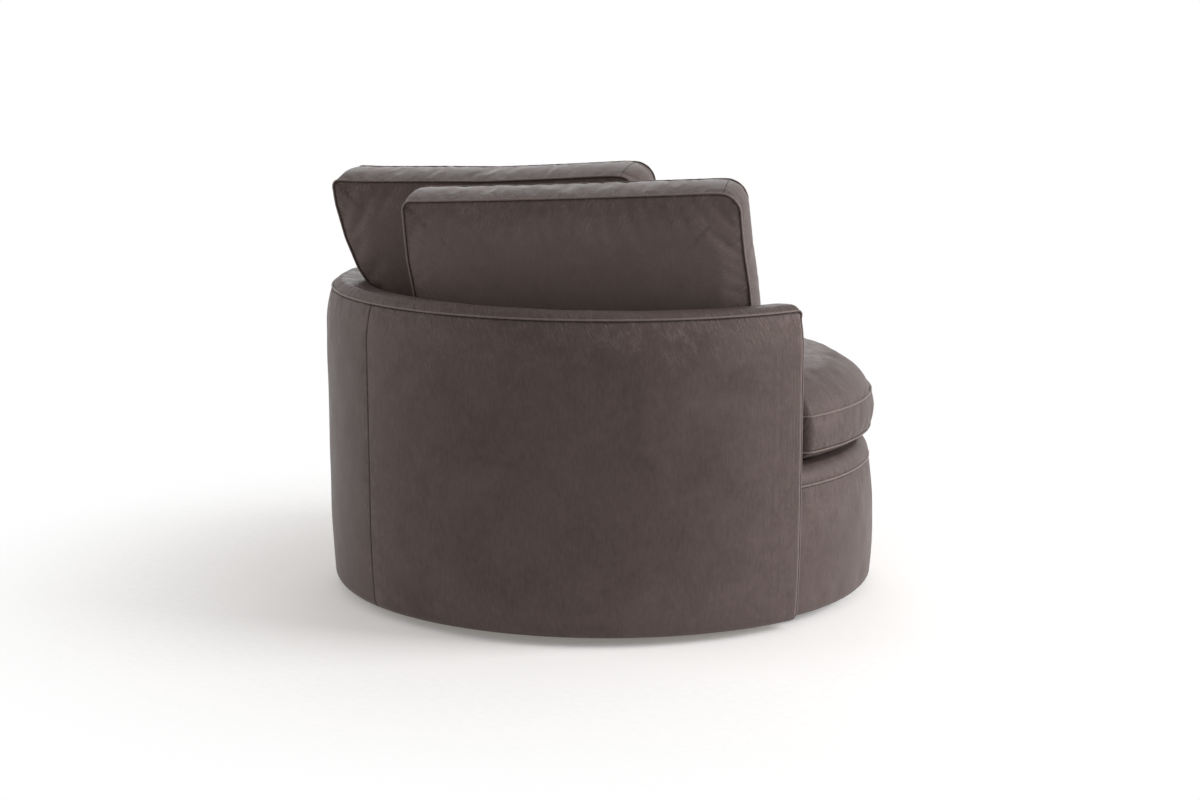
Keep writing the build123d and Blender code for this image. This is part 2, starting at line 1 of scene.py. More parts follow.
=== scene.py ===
import json
import math
import bpy
import numpy as np
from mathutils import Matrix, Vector


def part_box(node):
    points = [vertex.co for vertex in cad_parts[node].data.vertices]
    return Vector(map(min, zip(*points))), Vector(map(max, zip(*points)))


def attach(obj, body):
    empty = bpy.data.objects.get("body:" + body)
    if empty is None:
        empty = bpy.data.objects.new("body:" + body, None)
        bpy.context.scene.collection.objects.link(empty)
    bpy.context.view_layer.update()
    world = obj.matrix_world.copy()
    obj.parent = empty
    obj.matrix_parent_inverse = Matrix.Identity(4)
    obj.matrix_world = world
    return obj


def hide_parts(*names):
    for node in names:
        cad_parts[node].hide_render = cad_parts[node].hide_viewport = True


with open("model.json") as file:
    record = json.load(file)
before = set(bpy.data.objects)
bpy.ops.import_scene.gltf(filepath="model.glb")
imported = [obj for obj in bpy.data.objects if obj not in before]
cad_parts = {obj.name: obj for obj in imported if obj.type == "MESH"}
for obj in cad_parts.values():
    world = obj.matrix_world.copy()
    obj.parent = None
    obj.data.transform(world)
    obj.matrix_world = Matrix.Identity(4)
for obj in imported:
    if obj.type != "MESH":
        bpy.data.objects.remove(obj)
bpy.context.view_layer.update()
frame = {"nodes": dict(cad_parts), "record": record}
scene = bpy.context.scene
mm = 0.001


def low(node, axis):  # lowest coordinate of a CAD node along an axis, in millimetres
    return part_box(node)[0][axis] / mm


def high(node, axis):  # highest coordinate of a CAD node along an axis, in millimetres
    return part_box(node)[1][axis] / mm


# Sizes shared by the leather panels, in millimetres, read from the frame where it has them
shell = {
    "radius": high("outer_leather_left", 0),
    "hem": low("outer_leather_left", 2),
    "rimOuter": high("rim_leather", 0) + 4.5,
    "rimInner": high("inner_leather", 0) - 2.0,
    "rimHeight": high("outer_leather_left", 2),
    "armFront": low("arm_front_leather_left", 1) - 3.0,
    "hemSetIn": 18.0,
    "hemFold": 12.0,
    "hemRound": 22.5,
    "hemBend": 0.7,  # middle of the hem's quarter round, as a share of its radius
    "belly": 215.0,
    "bellySetIn": 0.5,
    "shoulder": high("outer_leather_left", 2) - 80.0,
    "shoulderProud": 2.0,
    "shoulderRoll": 0.24,  # share of the way in to the welt at half the shoulder's rise
    "corner": 9.0,
    "armRound": 14.0,
    "armRoundReach": 12.0,
    "armRoundFade": 22.0,
    "leather": 2.0,
}
seamClear = 7.0  # distance added on a panel whose seam gets no painted shade line


def arcThrough(a, m, b, count):  # points on the circle through a, m and b, its centre on their bisectors
    ends = np.array([a, m, b])
    squares = (ends * ends).sum(axis=1)
    centre = np.linalg.solve(ends[1:] - ends[0], (squares[1:] - squares[0]) / 2)
    turn = np.unwrap([math.atan2(y, x) for x, y in ends - centre])
    angle = np.linspace(turn[0], turn[2], count)
    return centre + math.dist(a, centre) * np.stack([np.cos(angle), np.sin(angle)], axis=1)


def lengths(points):  # running length along a row of points
    steps = np.linalg.norm(np.diff(points, axis=0), axis=1)
    return np.concatenate([[0.0], np.cumsum(steps)])


def joined(*runs):  # runs laid end to end, each without its first point after the first
    return np.concatenate([runs[0]] + [run[1:] for run in runs[1:]])


def sampledAt(want, run, points):  # points of a polyline at wanted running lengths
    return np.stack([np.interp(want, run, points[:, k]) for k in range(points.shape[1])], axis=1)


def resampled(points, count):  # the same polyline with points at equal steps of length
    run = lengths(points)
    return sampledAt(np.linspace(0, run[-1], count), run, points)


def unit(vectors):  # vectors divided by their lengths
    return vectors / np.maximum(np.linalg.norm(vectors, axis=-1, keepdims=True), 1e-9)


def ripple(x, seed, shortest, longest, waves=9):  # smooth noise: a sum of sines of random length and phase
    rng = np.random.default_rng(seed)
    wave = np.exp(rng.uniform(math.log(shortest), math.log(longest), waves))
    phase = rng.uniform(0, 2 * math.pi, waves)
    total = sum(np.sin(2 * math.pi * x / w + p) for w, p in zip(wave, phase))
    return total / math.sqrt(waves)


def closeTo(distance, width):  # bell curve: 1 at no distance, e to the minus 1 at a width
    return np.exp(-(distance / width) ** 2)


# Ripple along a seam, fading over a reach, starting over a rise if it has one
def gathers(run, away, look):
    fade = np.exp(-away / look["reach"])
    if "rise" in look:
        fade = fade * (1 - np.exp(-away / look["rise"]))
    return look["pucker"] * ripple(run, *look["puckerWave"]) * fade


def tucked(away, look):  # bell-shaped dip into a seam
    return look["tuck"] * closeTo(away, look["tuckWidth"])


def seamMark(run, away, wear=0.0):  # run along a seam, distance from it, and wear with painted light and shade, together at every point
    return np.stack(np.broadcast_arrays(run, away, wear), axis=-1)


def gridNormals(points):  # unit cross product of the steps along rows and along columns
    return unit(np.cross(np.gradient(points, axis=0), np.gradient(points, axis=1)))


# Quads between neighbouring points of a grid, closed across by wrap and along by ring
def gridFaces(rows, cols, wrap=False, ring=False):
    i, j = np.meshgrid(np.arange(rows - 1 + ring), np.arange(cols - 1 + wrap), indexing="ij")
    k = (j + 1) % cols
    after = (i + 1) % rows
    quads = np.stack([i * cols + j, i * cols + k, after * cols + k, after * cols + j], axis=-1)
    return quads.reshape(-1, 4)


def pointOut(faces, points, away):  # whether the quads' normals agree with outward directions, on the whole
    normal = np.cross(points[faces[:, 2]] - points[faces[:, 0]], points[faces[:, 3]] - points[faces[:, 1]])
    return (normal * away).sum() > 0


def facing(faces, points, outward):  # faces turned so that their normals agree with an outward function
    flat = points.reshape(-1, 3)
    return faces if pointOut(faces, flat, outward(flat[faces].mean(axis=1))) else faces[:, ::-1]


def fromAxis(p):  # outward direction of a drum: away from a point low on the swivel axis
    return p - np.array([0.0, 0.0, 300.0])


def toAxis(p):  # outward direction of a lining: towards the swivel axis
    return p * np.array([-1.0, -1.0, 0.0])


def polar(r, turn, z):  # points at a radius, an angle and a height: radius times cosine and sine
    return np.stack(np.broadcast_arrays(r * np.cos(turn), r * np.sin(turn), z), axis=-1)


def swept(r, z, turn, sign=1):  # profile carried round the axis, and its normals
    points = polar(r, turn, z) * np.array([sign, 1, 1])
    out = gridNormals(points)
    return points, out * np.sign((out * fromAxis(points)).sum())


def addObject(name, data, place=(0, 0, 0), way=None):  # object in the scene, its minus Z along a way
    made = bpy.data.objects.new(name, data)
    made.location = place
    if way is not None:
        made.rotation_euler = way.to_track_quat("-Z", "Y").to_euler()
    scene.collection.objects.link(made)
    return made


def addPiece(name, points, faces, material, seam):  # mesh object in metres; seam holds run, distance, and wear with painted light and shade
    mesh = bpy.data.meshes.new(name)
    quads = faces.tolist() if isinstance(faces, np.ndarray) else faces
    mesh.from_pydata((np.asarray(points).reshape(-1, 3) * mm).tolist(), [], quads)
    mesh.update()
    mesh.polygons.foreach_set("use_smooth", np.ones(len(mesh.polygons), dtype=bool))
    if seam is not None:
        mark = mesh.attributes.new("seam", "FLOAT_VECTOR", "POINT")
        mark.data.foreach_set("vector", np.asarray(seam, dtype=np.float32).reshape(-1))
    mesh.materials.append(material)
    piece = addObject(name, mesh)
    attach(piece, "chair")
    return piece


def addSheet(name, points, seam, outward):  # leather sheet: a grid with its thickness inwards
    faces = facing(gridFaces(*points.shape[:2]), points, outward)
    piece = addPiece(name, points, faces, hide, seam)
    solid = piece.modifiers.new("thickness", "SOLIDIFY")
    solid.thickness = shell["leather"] * mm
    solid.offset = -1.0
    return piece


tube = {"sides": 12, "swell": 0.07, "swellWave": (17, 9.0, 40.0), "clear": 60.0, "wearAndPaintedLight": 0.4}


# Oval ring of points at each point of a path, with tips unless the path is closed
def addTube(name, path, normal, material, width, height, closed=False):
    if closed:
        tangent = unit(np.roll(path, -1, axis=0) - np.roll(path, 1, axis=0))
    else:
        tangent = unit(np.gradient(path, axis=0))
    side = unit(np.cross(tangent, normal))
    lift = np.cross(side, tangent)
    run = lengths(path)
    swell = 1.0 + tube["swell"] * ripple(run, *tube["swellWave"])
    count, sides, clear = len(path), tube["sides"], tube["clear"]
    angle = np.linspace(0, 2 * math.pi, sides, endpoint=False)
    oval = np.stack([width * np.cos(angle), height * np.sin(angle)], axis=1) @ np.stack([side, lift], axis=1)
    points = (path[:, None] + swell[:, None, None] * oval).reshape(-1, 3)
    # Painted highlight and wear: the cord's outer side, facing away from the seam, is mixed towards the pale
    # tone
    seam = seamMark(run[:, None], clear, np.clip(tube["wearAndPaintedLight"] + np.sin(angle), 0, 1)).reshape(-1, 3)
    faces = gridFaces(count, sides, wrap=True, ring=closed)
    tips = np.empty((0, 3), dtype=int)
    if not closed:
        j = np.arange(sides)
        k = (j + 1) % sides
        last = (count - 1) * sides
        head = count * sides + 0 * j
        points = np.concatenate([points, path[:1], path[-1:]])
        seam = np.concatenate([seam, [[0, clear, 0], [run[-1], clear, 0]]])
        tips = np.concatenate([np.array([head, k, j]).T, np.array([head + 1, last + j, last + k]).T])
    spine = np.repeat(path, sides, axis=0)
    if pointOut(faces, points, points[faces].mean(axis=1) - spine[faces[:, 0]]):
        tips = tips[:, ::-1]
    else:
        faces = faces[:, ::-1]
    return addPiece(name, points, faces.tolist() + tips.tolist(), material, seam)


# A stitch in millimetres: pitch, length, radius of its thread; then its outline as shares of these
bead = {"pitch": 3.6, "long": 2.7, "thick": 0.55, "sides": 6, "span": (-0.5, -0.4, -0.15, 0.15, 0.4, 0.5),
        "girth": (0.25, 0.8, 1.0, 1.0, 0.8, 0.25), "dip": (-0.5, -0.2, 0.0, 0.0, -0.2, -0.5), "ahead": 0.5}


def addStitches(name, path, normal):  # round beads, thin at both ends, a pitch apart
    long, thick = bead["long"], bead["thick"]
    run = lengths(path)
    count = int(run[-1] / bead["pitch"])
    at = (np.arange(count) + 0.5) * bead["pitch"]
    place = sampledAt(at, run, path)
    tangent = unit(sampledAt(at + bead["ahead"], run, path) - place)
    side = unit(np.cross(tangent, sampledAt(at, run, normal)))
    axes = np.stack([tangent, side, np.cross(side, tangent)], axis=1)
    span, girth, dip = [np.array(bead[key])[:, None] for key in ("span", "girth", "dip")]
    sides = bead["sides"]
    angle = np.linspace(0, 2 * math.pi, sides, endpoint=False)
    around = (span * long, girth * thick * np.cos(angle), (girth * np.sin(angle) + dip) * thick)
    rings = np.stack(np.broadcast_arrays(*around), axis=-1).reshape(-1, 3)
    points = (place[:, None] + rings @ axes).reshape(-1, 3)
    size = len(rings)
    first = (np.arange(count) * size)[:, None]
    faces = (gridFaces(len(span), sides, wrap=True)[None] + first[:, :, None]).reshape(-1, 4)
    ends = np.concatenate([first + np.arange(sides), first + size - 1 - np.arange(sides)])
    if pointOut(faces, points, points[faces].mean(axis=1) - place[faces[:, 0] // size]):
        ends = ends[:, ::-1]
    else:
        faces = faces[:, ::-1]
    return addPiece(name, points, faces.tolist() + ends.tolist(), thread, None)


def toLinear(text):  # hex sRGB to linear: ((c + 0.055) / 1.055) to the power 2.4 on each channel
    channel = [int(text[k:k + 2], 16) / 255 for k in (1, 3, 5)]
    return [((c + 0.055) / 1.055) ** 2.4 if c > 0.04045 else c / 12.92 for c in channel] + [1.0]


# One node with its settings; its inputs are values, or sockets or nodes to link from
def addNode(tree, kind, inputs=None, **settings):
    made = tree.nodes.new("ShaderNode" + kind)
    for key, value in settings.items():
        setattr(made, key, value)
    for key, value in (inputs or {}).items():
        if isinstance(value, bpy.types.Node):
            value = value.outputs[0]
        if isinstance(value, bpy.types.NodeSocket):
            tree.links.new(value, made.inputs[key])
        else:
            made.inputs[key].default_value = value
    return made


def newMaterial(name):  # empty node material, and object coordinates to draw on
    made = bpy.data.materials.new(name)
    made.use_nodes = True
    made.node_tree.nodes.clear()
    return made, made.node_tree, addNode(made.node_tree, "TexCoord").outputs["Object"]


# Semi-aniline leather, dyed through and lightly waxed: cloudy tone, soft sheen, pale where it is rubbed and
# where a highlight is painted, with painted shade in the seams
leather = {
    "dark": "#4c4240",
    "mid": "#5a4f4d",
    "light": "#6b5f5d",
    # pale tone of rubbed leather, also the colour of painted highlights
    "wornAndLitTone": "#998b85",
    "shadow": "#241e1d",
    "gloss": "#e6cdc6",
    # Noises: size across, detail, roughness, distortion
    "cloud": (120 * mm, 4.0, 0.58, 0.7),
    "patch": (28 * mm, 5.0, 0.62, 0.4),
    "fleck": (5.04 * mm, 4.0, 0.65, 0.0),
    "slack": (48 * mm, 3.0, 0.5, 0.0),  # slack waves of the hide
    "pore": (0.4 * mm, 2.0, 0.5, 0.0),
    "streak": (1.0, 3.0, 0.6, 0.6),  # in widths of a hairline
    "pebble": 1.1 * mm,  # about twice the real pebble, so that it shows close up
    "fleckTurn": (0.5, 0.35, 0.0),
    "fleckStretch": (1, 1, 0.3),
    "tone": {"cloud": 0.8, "patch": 0.4, "fleck": 0.8},  # shares of the noises
    "toneLift": -0.75,
    "hairline": 3.8,  # millimetres between hairlines along a seam, coarser than real ones so that they show
    "slant": 0.55,  # millimetres that a hairline moves along the seam for each one away from it
    "drawnOut": 0.09,
    "sharpness": 12.0,
    "reach": 55.0,  # millimetres over which hairlines fade
    "gate": (5.0, -2.1),  # gain and lift of the patches that let hairlines show
    "crease": 3.4,  # millimetres across the painted shade line in a seam
    "creaseShare": 0.7,
    "lineShare": 0.38,
    "wearAndLightShare": 0.34,
    "relief": {"slack": (0.35, 2.0), "line": (0.8, 1.4), "pebble": (0.22, 0.2), "pore": (0.15, 0.1)},
    "roughness": 0.38,
    "roughShare": 0.16,
    "specular": 0.17,
}


def leatherMaterial(name, look):  # tone: shares of three noises; hairlines: a noise's middle level, slanted
    made, tree, coords = newMaterial(name)
    seam = addNode(tree, "Attribute", attribute_name="seam").outputs["Vector"]
    along, away, wear = addNode(tree, "SeparateXYZ", {"Vector": seam}).outputs
    turned = {"Vector": coords, "Rotation": look["fleckTurn"], "Scale": look["fleckStretch"]}
    slanted = addNode(tree, "Math", {0: away, 1: look["slant"], 2: along}, operation="MULTIPLY_ADD")
    streakAt = addNode(tree, "CombineXYZ", {
        "X": addNode(tree, "Math", {0: slanted, 1: 1 / look["hairline"]}, operation="MULTIPLY"),
        "Y": addNode(tree, "Math", {0: away, 1: look["drawnOut"] / look["hairline"]}, operation="MULTIPLY")})
    places = {"cloud": coords, "patch": coords, "fleck": addNode(tree, "Mapping", turned),
              "slack": coords, "pore": coords, "streak": streakAt}
    height = {}
    for key, place in places.items():
        size, detail, rough, warp = look[key]
        height[key] = addNode(tree, "TexNoise", {
            "Vector": place, "Scale": 1 / size, "Detail": detail, "Roughness": rough, "Distortion": warp})
    tone = look["toneLift"]
    for key, share in look["tone"].items():
        tone = addNode(tree, "Math", {0: height[key], 1: share, 2: tone}, operation="MULTIPLY_ADD")
    ramp = addNode(tree, "ValToRGB", {"Fac": tone})
    ramp.color_ramp.elements[0].color = toLinear(look["dark"])
    ramp.color_ramp.elements[1].color = toLinear(look["light"])
    ramp.color_ramp.elements.new(0.5).color = toLinear(look["mid"])
    # Hairlines beside the seams, where the patches let them show
    off = addNode(tree, "Math", {0: height["streak"], 1: 0.5}, operation="SUBTRACT")
    off = addNode(tree, "Math", {0: off}, operation="ABSOLUTE")
    line = {0: off, 1: -look["sharpness"], 2: 1.0}
    line = addNode(tree, "Math", line, operation="MULTIPLY_ADD", use_clamp=True)
    gate = {0: height["patch"], 1: look["gate"][0], 2: look["gate"][1]}
    gate = addNode(tree, "Math", gate, operation="MULTIPLY_ADD", use_clamp=True)
    fade = addNode(tree, "Math", {0: away, 1: -1 / look["reach"]}, operation="MULTIPLY")
    fade = addNode(tree, "Math", {0: fade}, operation="EXPONENT")
    for share in (fade, gate):
        line = addNode(tree, "Math", {0: line, 1: share}, operation="MULTIPLY")
    # Pale mix: rubbed wear, plus the painted light and shade of the cushion panels and the painted highlight
    # on the cords' crests
    wearAndPaintedLight = addNode(tree, "Math", {0: wear, 1: look["wearAndLightShare"]}, operation="MULTIPLY")
    lit = {0: line, 1: look["lineShare"], 2: wearAndPaintedLight}
    lit = addNode(tree, "Math", lit, operation="MULTIPLY_ADD", use_clamp=True)
    colour = {0: lit, 6: ramp.outputs["Color"], 7: toLinear(look["wornAndLitTone"])}
    colour = addNode(tree, "Mix", colour, data_type="RGBA").outputs[2]
    # Painted shade in the seam itself: a dark line, e to the minus square of distance over width
    crease = away
    for step, value in (("DIVIDE", look["crease"]), ("POWER", 2.0), ("MULTIPLY", -1.0), ("EXPONENT", 0.0),
                        ("MULTIPLY", look["creaseShare"])):
        crease = addNode(tree, "Math", {0: crease, 1: value}, operation=step)
    colour = addNode(tree, "Mix", {0: crease, 6: colour, 7: toLinear(look["shadow"])}, data_type="RGBA")
    # Relief in strength and millimetres, each bump on the normal of the one before
    height["line"] = line
    height["pebble"] = addNode(tree, "TexVoronoi", {"Vector": coords, "Scale": 1 / look["pebble"]})
    normal = {}
    for key, (strength, depth) in look["relief"].items():
        bump = {"Strength": strength, "Distance": depth * mm, "Height": height[key], **normal}
        normal = {"Normal": addNode(tree, "Bump", bump)}
    rough = {0: height["patch"], 1: look["roughShare"], 2: look["roughness"]}
    shade = addNode(tree, "BsdfPrincipled", {
        "Base Color": colour.outputs[2], "Specular IOR Level": look["specular"],
        "Specular Tint": toLinear(look["gloss"]),
        "Roughness": addNode(tree, "Math", rough, operation="MULTIPLY_ADD"), **normal})
    addNode(tree, "OutputMaterial", {"Surface": shade})
    return made


# Noise of a grain's size, stretched along an axis, gives the colour, the sheen and the relief
def grainMaterial(name, dark, light, size, stretch, roughness, metallic=0.0, bump=0.3):
    made, tree, coords = newMaterial(name)
    scaled = addNode(tree, "Mapping", {"Vector": coords, "Scale": stretch})
    noise = addNode(tree, "TexNoise", {
        "Vector": scaled, "Scale": 1 / size, "Detail": 5.0, "Roughness": 0.6, "Distortion": 0.5})
    colour = addNode(tree, "Mix", {0: noise, 6: toLinear(dark), 7: toLinear(light)}, data_type="RGBA")
    level = addNode(tree, "Math", {0: noise, 1: 0.12, 2: roughness - 0.06}, operation="MULTIPLY_ADD")
    bumped = addNode(tree, "Bump", {"Strength": bump, "Distance": size * 0.2, "Height": noise})
    shade = addNode(tree, "BsdfPrincipled", {
        "Base Color": colour.outputs[2], "Roughness": level, "Metallic": metallic, "Normal": bumped})
    addNode(tree, "OutputMaterial", {"Surface": shade})
    return made


def wovenMaterial(name, dark, light, thread):  # plain weave: the product of two sine bands a thread apart
    made, tree, coords = newMaterial(name)
    wave = {"Vector": coords, "Scale": 1 / (thread * 2), "Distortion": 0.4}
    warp, weft = [addNode(tree, "TexWave", wave, bands_direction=axis).outputs["Fac"] for axis in "XY"]
    weave = addNode(tree, "Math", {0: warp, 1: weft}, operation="MULTIPLY")
    colour = addNode(tree, "Mix", {0: weave, 6: toLinear(dark), 7: toLinear(light)}, data_type="RGBA")
    bumped = addNode(tree, "Bump", {"Strength": 0.5, "Distance": thread * 0.4, "Height": weave})
    shade = addNode(tree, "BsdfPrincipled", {
        "Base Color": colour.outputs[2], "Roughness": 0.9, "Normal": bumped})
    addNode(tree, "OutputMaterial", {"Surface": shade})
    return made


hide = leatherMaterial("taupe leather", leather)
# Bonded polyester thread: nearly black, dull
thread = grainMaterial("bonded thread", "#1d1918", "#2b2524", 0.5 * mm, (1, 1, 1), 0.7)
finishes = {
    # Rotary-cut birch, sanded: pale and dull, with long grain
    "plywood": grainMaterial("birch plywood", "#a98a5f", "#c9ad80", 20 * mm, (1, 12, 6), 0.62),
    # Carded fibre: off-white, matt and lumpy
    "wadding": grainMaterial("polyester wadding", "#cfcac0", "#ebe8e1", 4 * mm, (1, 1, 1), 0.95, bump=0.8),
    # Plain-woven lining: black, matt, a fine check
    "cloth": wovenMaterial("black woven cloth", "#0d0d0e", "#26262a", 1.2 * mm),
    # Pressed and plated steel: grey, half bright, faintly streaked
    "steel": grainMaterial("zinc plated steel", "#8f9194", "#b9bbbd", 3 * mm, (1, 8, 1), 0.34, 1.0, 0.1),
    # Moulded nylon: black with a satin skin
    "nylon": grainMaterial("moulded nylon", "#151516", "#242426", 1.5 * mm, (1, 1, 1), 0.5, bump=0.15),
    "leather": hide,
}
for part in frame["record"]["subparts"]:
    node = frame["nodes"][part["node"]]
    node.data.materials.clear()
    node.data.materials.append(finishes[part["material_slot"]])
print("materials done")


def hemTurn(foot):  # hem profile from a foot radius: a flat fold underneath and a quarter round
    side = (foot + shell["hemRound"], shell["hem"] + shell["hemRound"])
    bend = shell["hemRound"] * shell["hemBend"]
    return joined(
        np.linspace((foot - shell["hemFold"], shell["hem"]), (foot, shell["hem"]), 6),
        arcThrough((foot, shell["hem"]), (foot + bend, side[1] - bend), side, 16))


def outerProfile(count):  # outside of the shell from the hem fold to the welt, as radius and height
    hem = hemTurn(shell["radius"] - shell["hemSetIn"] - shell["hemFold"])
    side = hem[-1]
    belly = (shell["radius"] - shell["bellySetIn"], shell["belly"])
    shoulder = (shell["radius"] + shell["shoulderProud"], shell["shoulder"])
    welt = (shell["rimOuter"], shell["rimHeight"])
    flank = ((3 * belly[0] + side[0]) / 4, (belly[1] + side[1]) / 2)
    turnIn = (shoulder[0] - shell["shoulderRoll"] * (shoulder[0] - welt[0]), (shoulder[1] + welt[1]) / 2)
    run = joined(
        hem,
        arcThrough(side, flank, belly, 30),
        np.linspace(belly, shoulder, 30),
        arcThrough(shoulder, turnIn, welt, 30))
    return resampled(run, count)


def armEnd(z):  # front edge of the arm at a height: the arm front, rounded back at its upper corner
    rise = np.clip((z - (shell["rimHeight"] - shell["corner"])) / shell["corner"], 0, 1)
    return shell["armFront"] + shell["corner"] * (1 - np.sqrt(np.maximum(1 - rise ** 2, 0)))


def armDip(fromArm, z):  # how far the arm's edge rounds in: a circle's fall, fading out at the upper corner
    over = np.clip(shell["armRoundReach"] - fromArm, 0, shell["armRoundReach"])
    fall = shell["armRound"] - np.sqrt(shell["armRound"] ** 2 - over ** 2)
    t = np.clip((shell["rimHeight"] - z) / shell["armRoundFade"], 0, 1)
    return fall * t * t * (3 - 2 * t)


# A wave is a seed, the shortest and longest length in millimetres, and sometimes a count of sines
backPanel = {"rows": 150, "cols": 190, "crowding": 0.12, "seamDepth": 1.5, "seamWidth": 2.4,
             "seamNarrow": 3.0, "tuck": 0.9, "tuckWidth": 3.5, "slack": 0.35, "slackMean": 0.3,
             "slackAlong": (3, 90, 300), "slackUp": (5, 110, 300), "pucker": 0.35,
             "puckerWave": (8, 12, 40), "puckerSlant": 0.5, "reach": 26.0, "wearWidth": 9.0}


def buildBackPanel(name, sign, nodes):  # half of the shell's outside, swept from the seam to the arm
    profile = outerProfile(backPanel["rows"])
    r, z = profile[:, :1], profile[:, 1:]
    fromTop = lengths(profile[::-1])[::-1, None]
    end = np.arcsin(armEnd(z) / r)
    share = np.linspace(0, 1, backPanel["cols"])[None]
    share = share - backPanel["crowding"] * np.sin(2 * math.pi * share)
    turn = math.pi / 2 + (end - math.pi / 2) * share
    points, out = swept(r, z, turn, sign)
    fromSeam = r * (math.pi / 2 - turn)
    fromArm = r * (turn - end)
    run = shell["radius"] * (math.pi / 2 - turn) * sign
    slack = ripple(run, *backPanel["slackAlong"]) * ripple(z, *backPanel["slackUp"]) - backPanel["slackMean"]
    shift = backPanel["slack"] * slack - backPanel["seamDepth"] * closeTo(fromSeam, backPanel["seamWidth"])
    shift = shift - tucked(fromTop, backPanel) - armDip(fromArm, z)
    shift = shift + gathers(run + backPanel["puckerSlant"] * fromTop, fromTop, backPanel)
    edge = np.minimum(np.minimum(fromTop, fromArm + seamClear), backPanel["seamNarrow"] * fromSeam)
    seam = seamMark(run, edge, closeTo(fromArm, backPanel["wearWidth"]))
    panel = addSheet(name, points + shift[:, :, None] * out, seam, fromAxis)
    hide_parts(*nodes)


buildBackPanel("back_panel_left", 1, ("outer_leather_left", "shell_outer_padding"))
buildBackPanel("back_panel_right", -1, ("outer_leather_right",))
print("back panels done")

# turnUnder: rise and set-back of the stations at the arm's foot
band = {"turnUnder": ((0.0, 14.0), (0.0, 8.0), (0.0, 4.0), (1.0, 1.2)), "facingStart": 4.0, "facingRows": 70,
        "cornerRows": 12, "rimRows": 170, "cols": 30, "runCol": 8, "crownCol": 10, "width": 75.0,
        "meanCrown": 13.0, "armCrown": 10.0, "backCrown": 18.5, "crownRound": 22.0, "crownFall": 0.35,
        "crownOnFacing": 0.45, "innerRound": 12.0, "innerBend": 0.3, "innerDrop": 34.0, "tuck": 1.0,
        "tuckWidth": 3.0, "slack": 0.5, "slackWave": (21, 60, 220), "pucker": 0.3, "puckerWave": (23, 11, 34),
        "reach": 18.0, "wear": 0.25, "wearWidth": 5.0, "acrossPower": 1.5, "fallPower": 1.6,
        "profileRows": 400}


def bandPath():  # stations of half the band: height, front edge, share of the way round, lean of its face
    foot, top, bend, front = shell["hem"], shell["rimHeight"], shell["corner"], shell["armFront"]
    under = np.array([(foot + rise, front + back, 0.0, 0.0) for rise, back in band["turnUnder"]])
    z = np.linspace(foot + band["facingStart"], top - bend, band["facingRows"])
    upright = np.stack([z, front + 0 * z, 0 * z, 0 * z], axis=1)
    a = np.linspace(0, math.pi / 2, band["cornerRows"])[1:]
    corner = np.stack([top - bend + bend * np.sin(a), front + bend * (1 - np.cos(a)), 0 * a, a], axis=1)
    q = np.linspace(0, 1, band["rimRows"])[1:]
    rim = np.stack([top + 0 * q, front + bend + 0 * q, q, math.pi / 2 + 0 * q], axis=1)
    return np.concatenate([under, upright, corner, rim])


def bandAcross():  # from the outer welt to inside the seat room: share of width, share of crown, drop
    width = shell["rimOuter"] - shell["rimInner"]
    inner = band["innerRound"]
    away = (width - inner) * np.linspace(0, 1, band["cols"]) ** band["acrossPower"]
    rise = 1 - np.clip(1 - away / band["crownRound"], 0, 1) ** 2
    fall = np.clip((away - band["crownRound"]) / (width - inner - band["crownRound"]), 0, 1)
    crown = np.stack([width - away, rise - band["crownFall"] * fall ** band["fallPower"]], axis=1)
    bend = inner * band["innerBend"]
    turnDown = arcThrough((inner, 0.0), (bend, -bend), (0.0, -inner), 10)
    run = joined(crown, turnDown, np.linspace((0.0, -inner), (0.0, -band["innerDrop"]), 6))
    onCrown = np.arange(len(run)) < len(crown)
    swell = np.where(onCrown, run[:, 1], crown[-1, 1] * np.clip(1 + run[:, 1] / inner, 0, 1))
    sink = np.where(onCrown, 0.0, run[:, 1])
    return run[:, 0] / width, swell, sink


def bandPoints(path, share, swell, sink):  # at their radius, lifted along the lean, mirrored to the other arm
    profile = outerProfile(band["profileRows"])
    order = np.argsort(profile[:, 1])
    outer = np.interp(path[:, 0], profile[order, 1], profile[order, 0])
    outer = np.where(path[:, 2] > 0, shell["rimOuter"], outer - armDip(0.0, path[:, 0]))[:, None]
    r = shell["rimInner"] + (outer - shell["rimInner"]) * share
    start = np.arcsin(path[:, 1:2] / r)
    turn = start + (math.pi / 2 - start) * path[:, 2:3]
    lean = path[:, 3:4]
    crown = band["armCrown"] + (band["backCrown"] - band["armCrown"]) * path[:, 2:3]
    rise = swell * crown * (band["crownOnFacing"] + (1 - band["crownOnFacing"]) * np.sin(lean)) + sink
    y = r * np.sin(turn) - rise * np.cos(lean)
    z = path[:, :1] + rise * np.sin(lean)
    left = np.stack(np.broadcast_arrays(r * np.cos(turn), y, z), axis=2)
    right = left * np.array([-1, 1, 1])
    return np.concatenate([left, right[::-1][1:]])


def buildBand(path):  # facing, rounded corner, rim, corner and facing as one strip
    share, swell, sink = bandAcross()
    points = bandPoints(path, share[None], swell[None], sink[None])
    run = lengths(points[:, band["runCol"]])[:, None]
    width = lengths(np.stack([share * band["width"], band["meanCrown"] * swell + sink], axis=1))[None]
    out = gridNormals(points)
    out = out * np.sign(out[len(path), band["crownCol"], 2])  # up, at the middle of the back
    slack = ripple(run, *band["slackWave"]) * np.sin(np.clip(width / band["width"], 0, 1) * math.pi)
    shift = band["slack"] * slack - tucked(width, band) + gathers(run, width, band)
    seam = seamMark(run, width + seamClear, band["wear"] * closeTo(width, band["wearWidth"]))
    first = gridFaces(*points.shape[:2])[:, 0]
    strip = addSheet("rim_band", points + shift[:, :, None] * out, seam, lambda p: out.reshape(-1, 3)[first])
    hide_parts("rim_leather", "rim_padding", "arm_front_leather_left", "arm_front_leather_right",
                "arm_front_padding_left", "arm_front_padding_right")


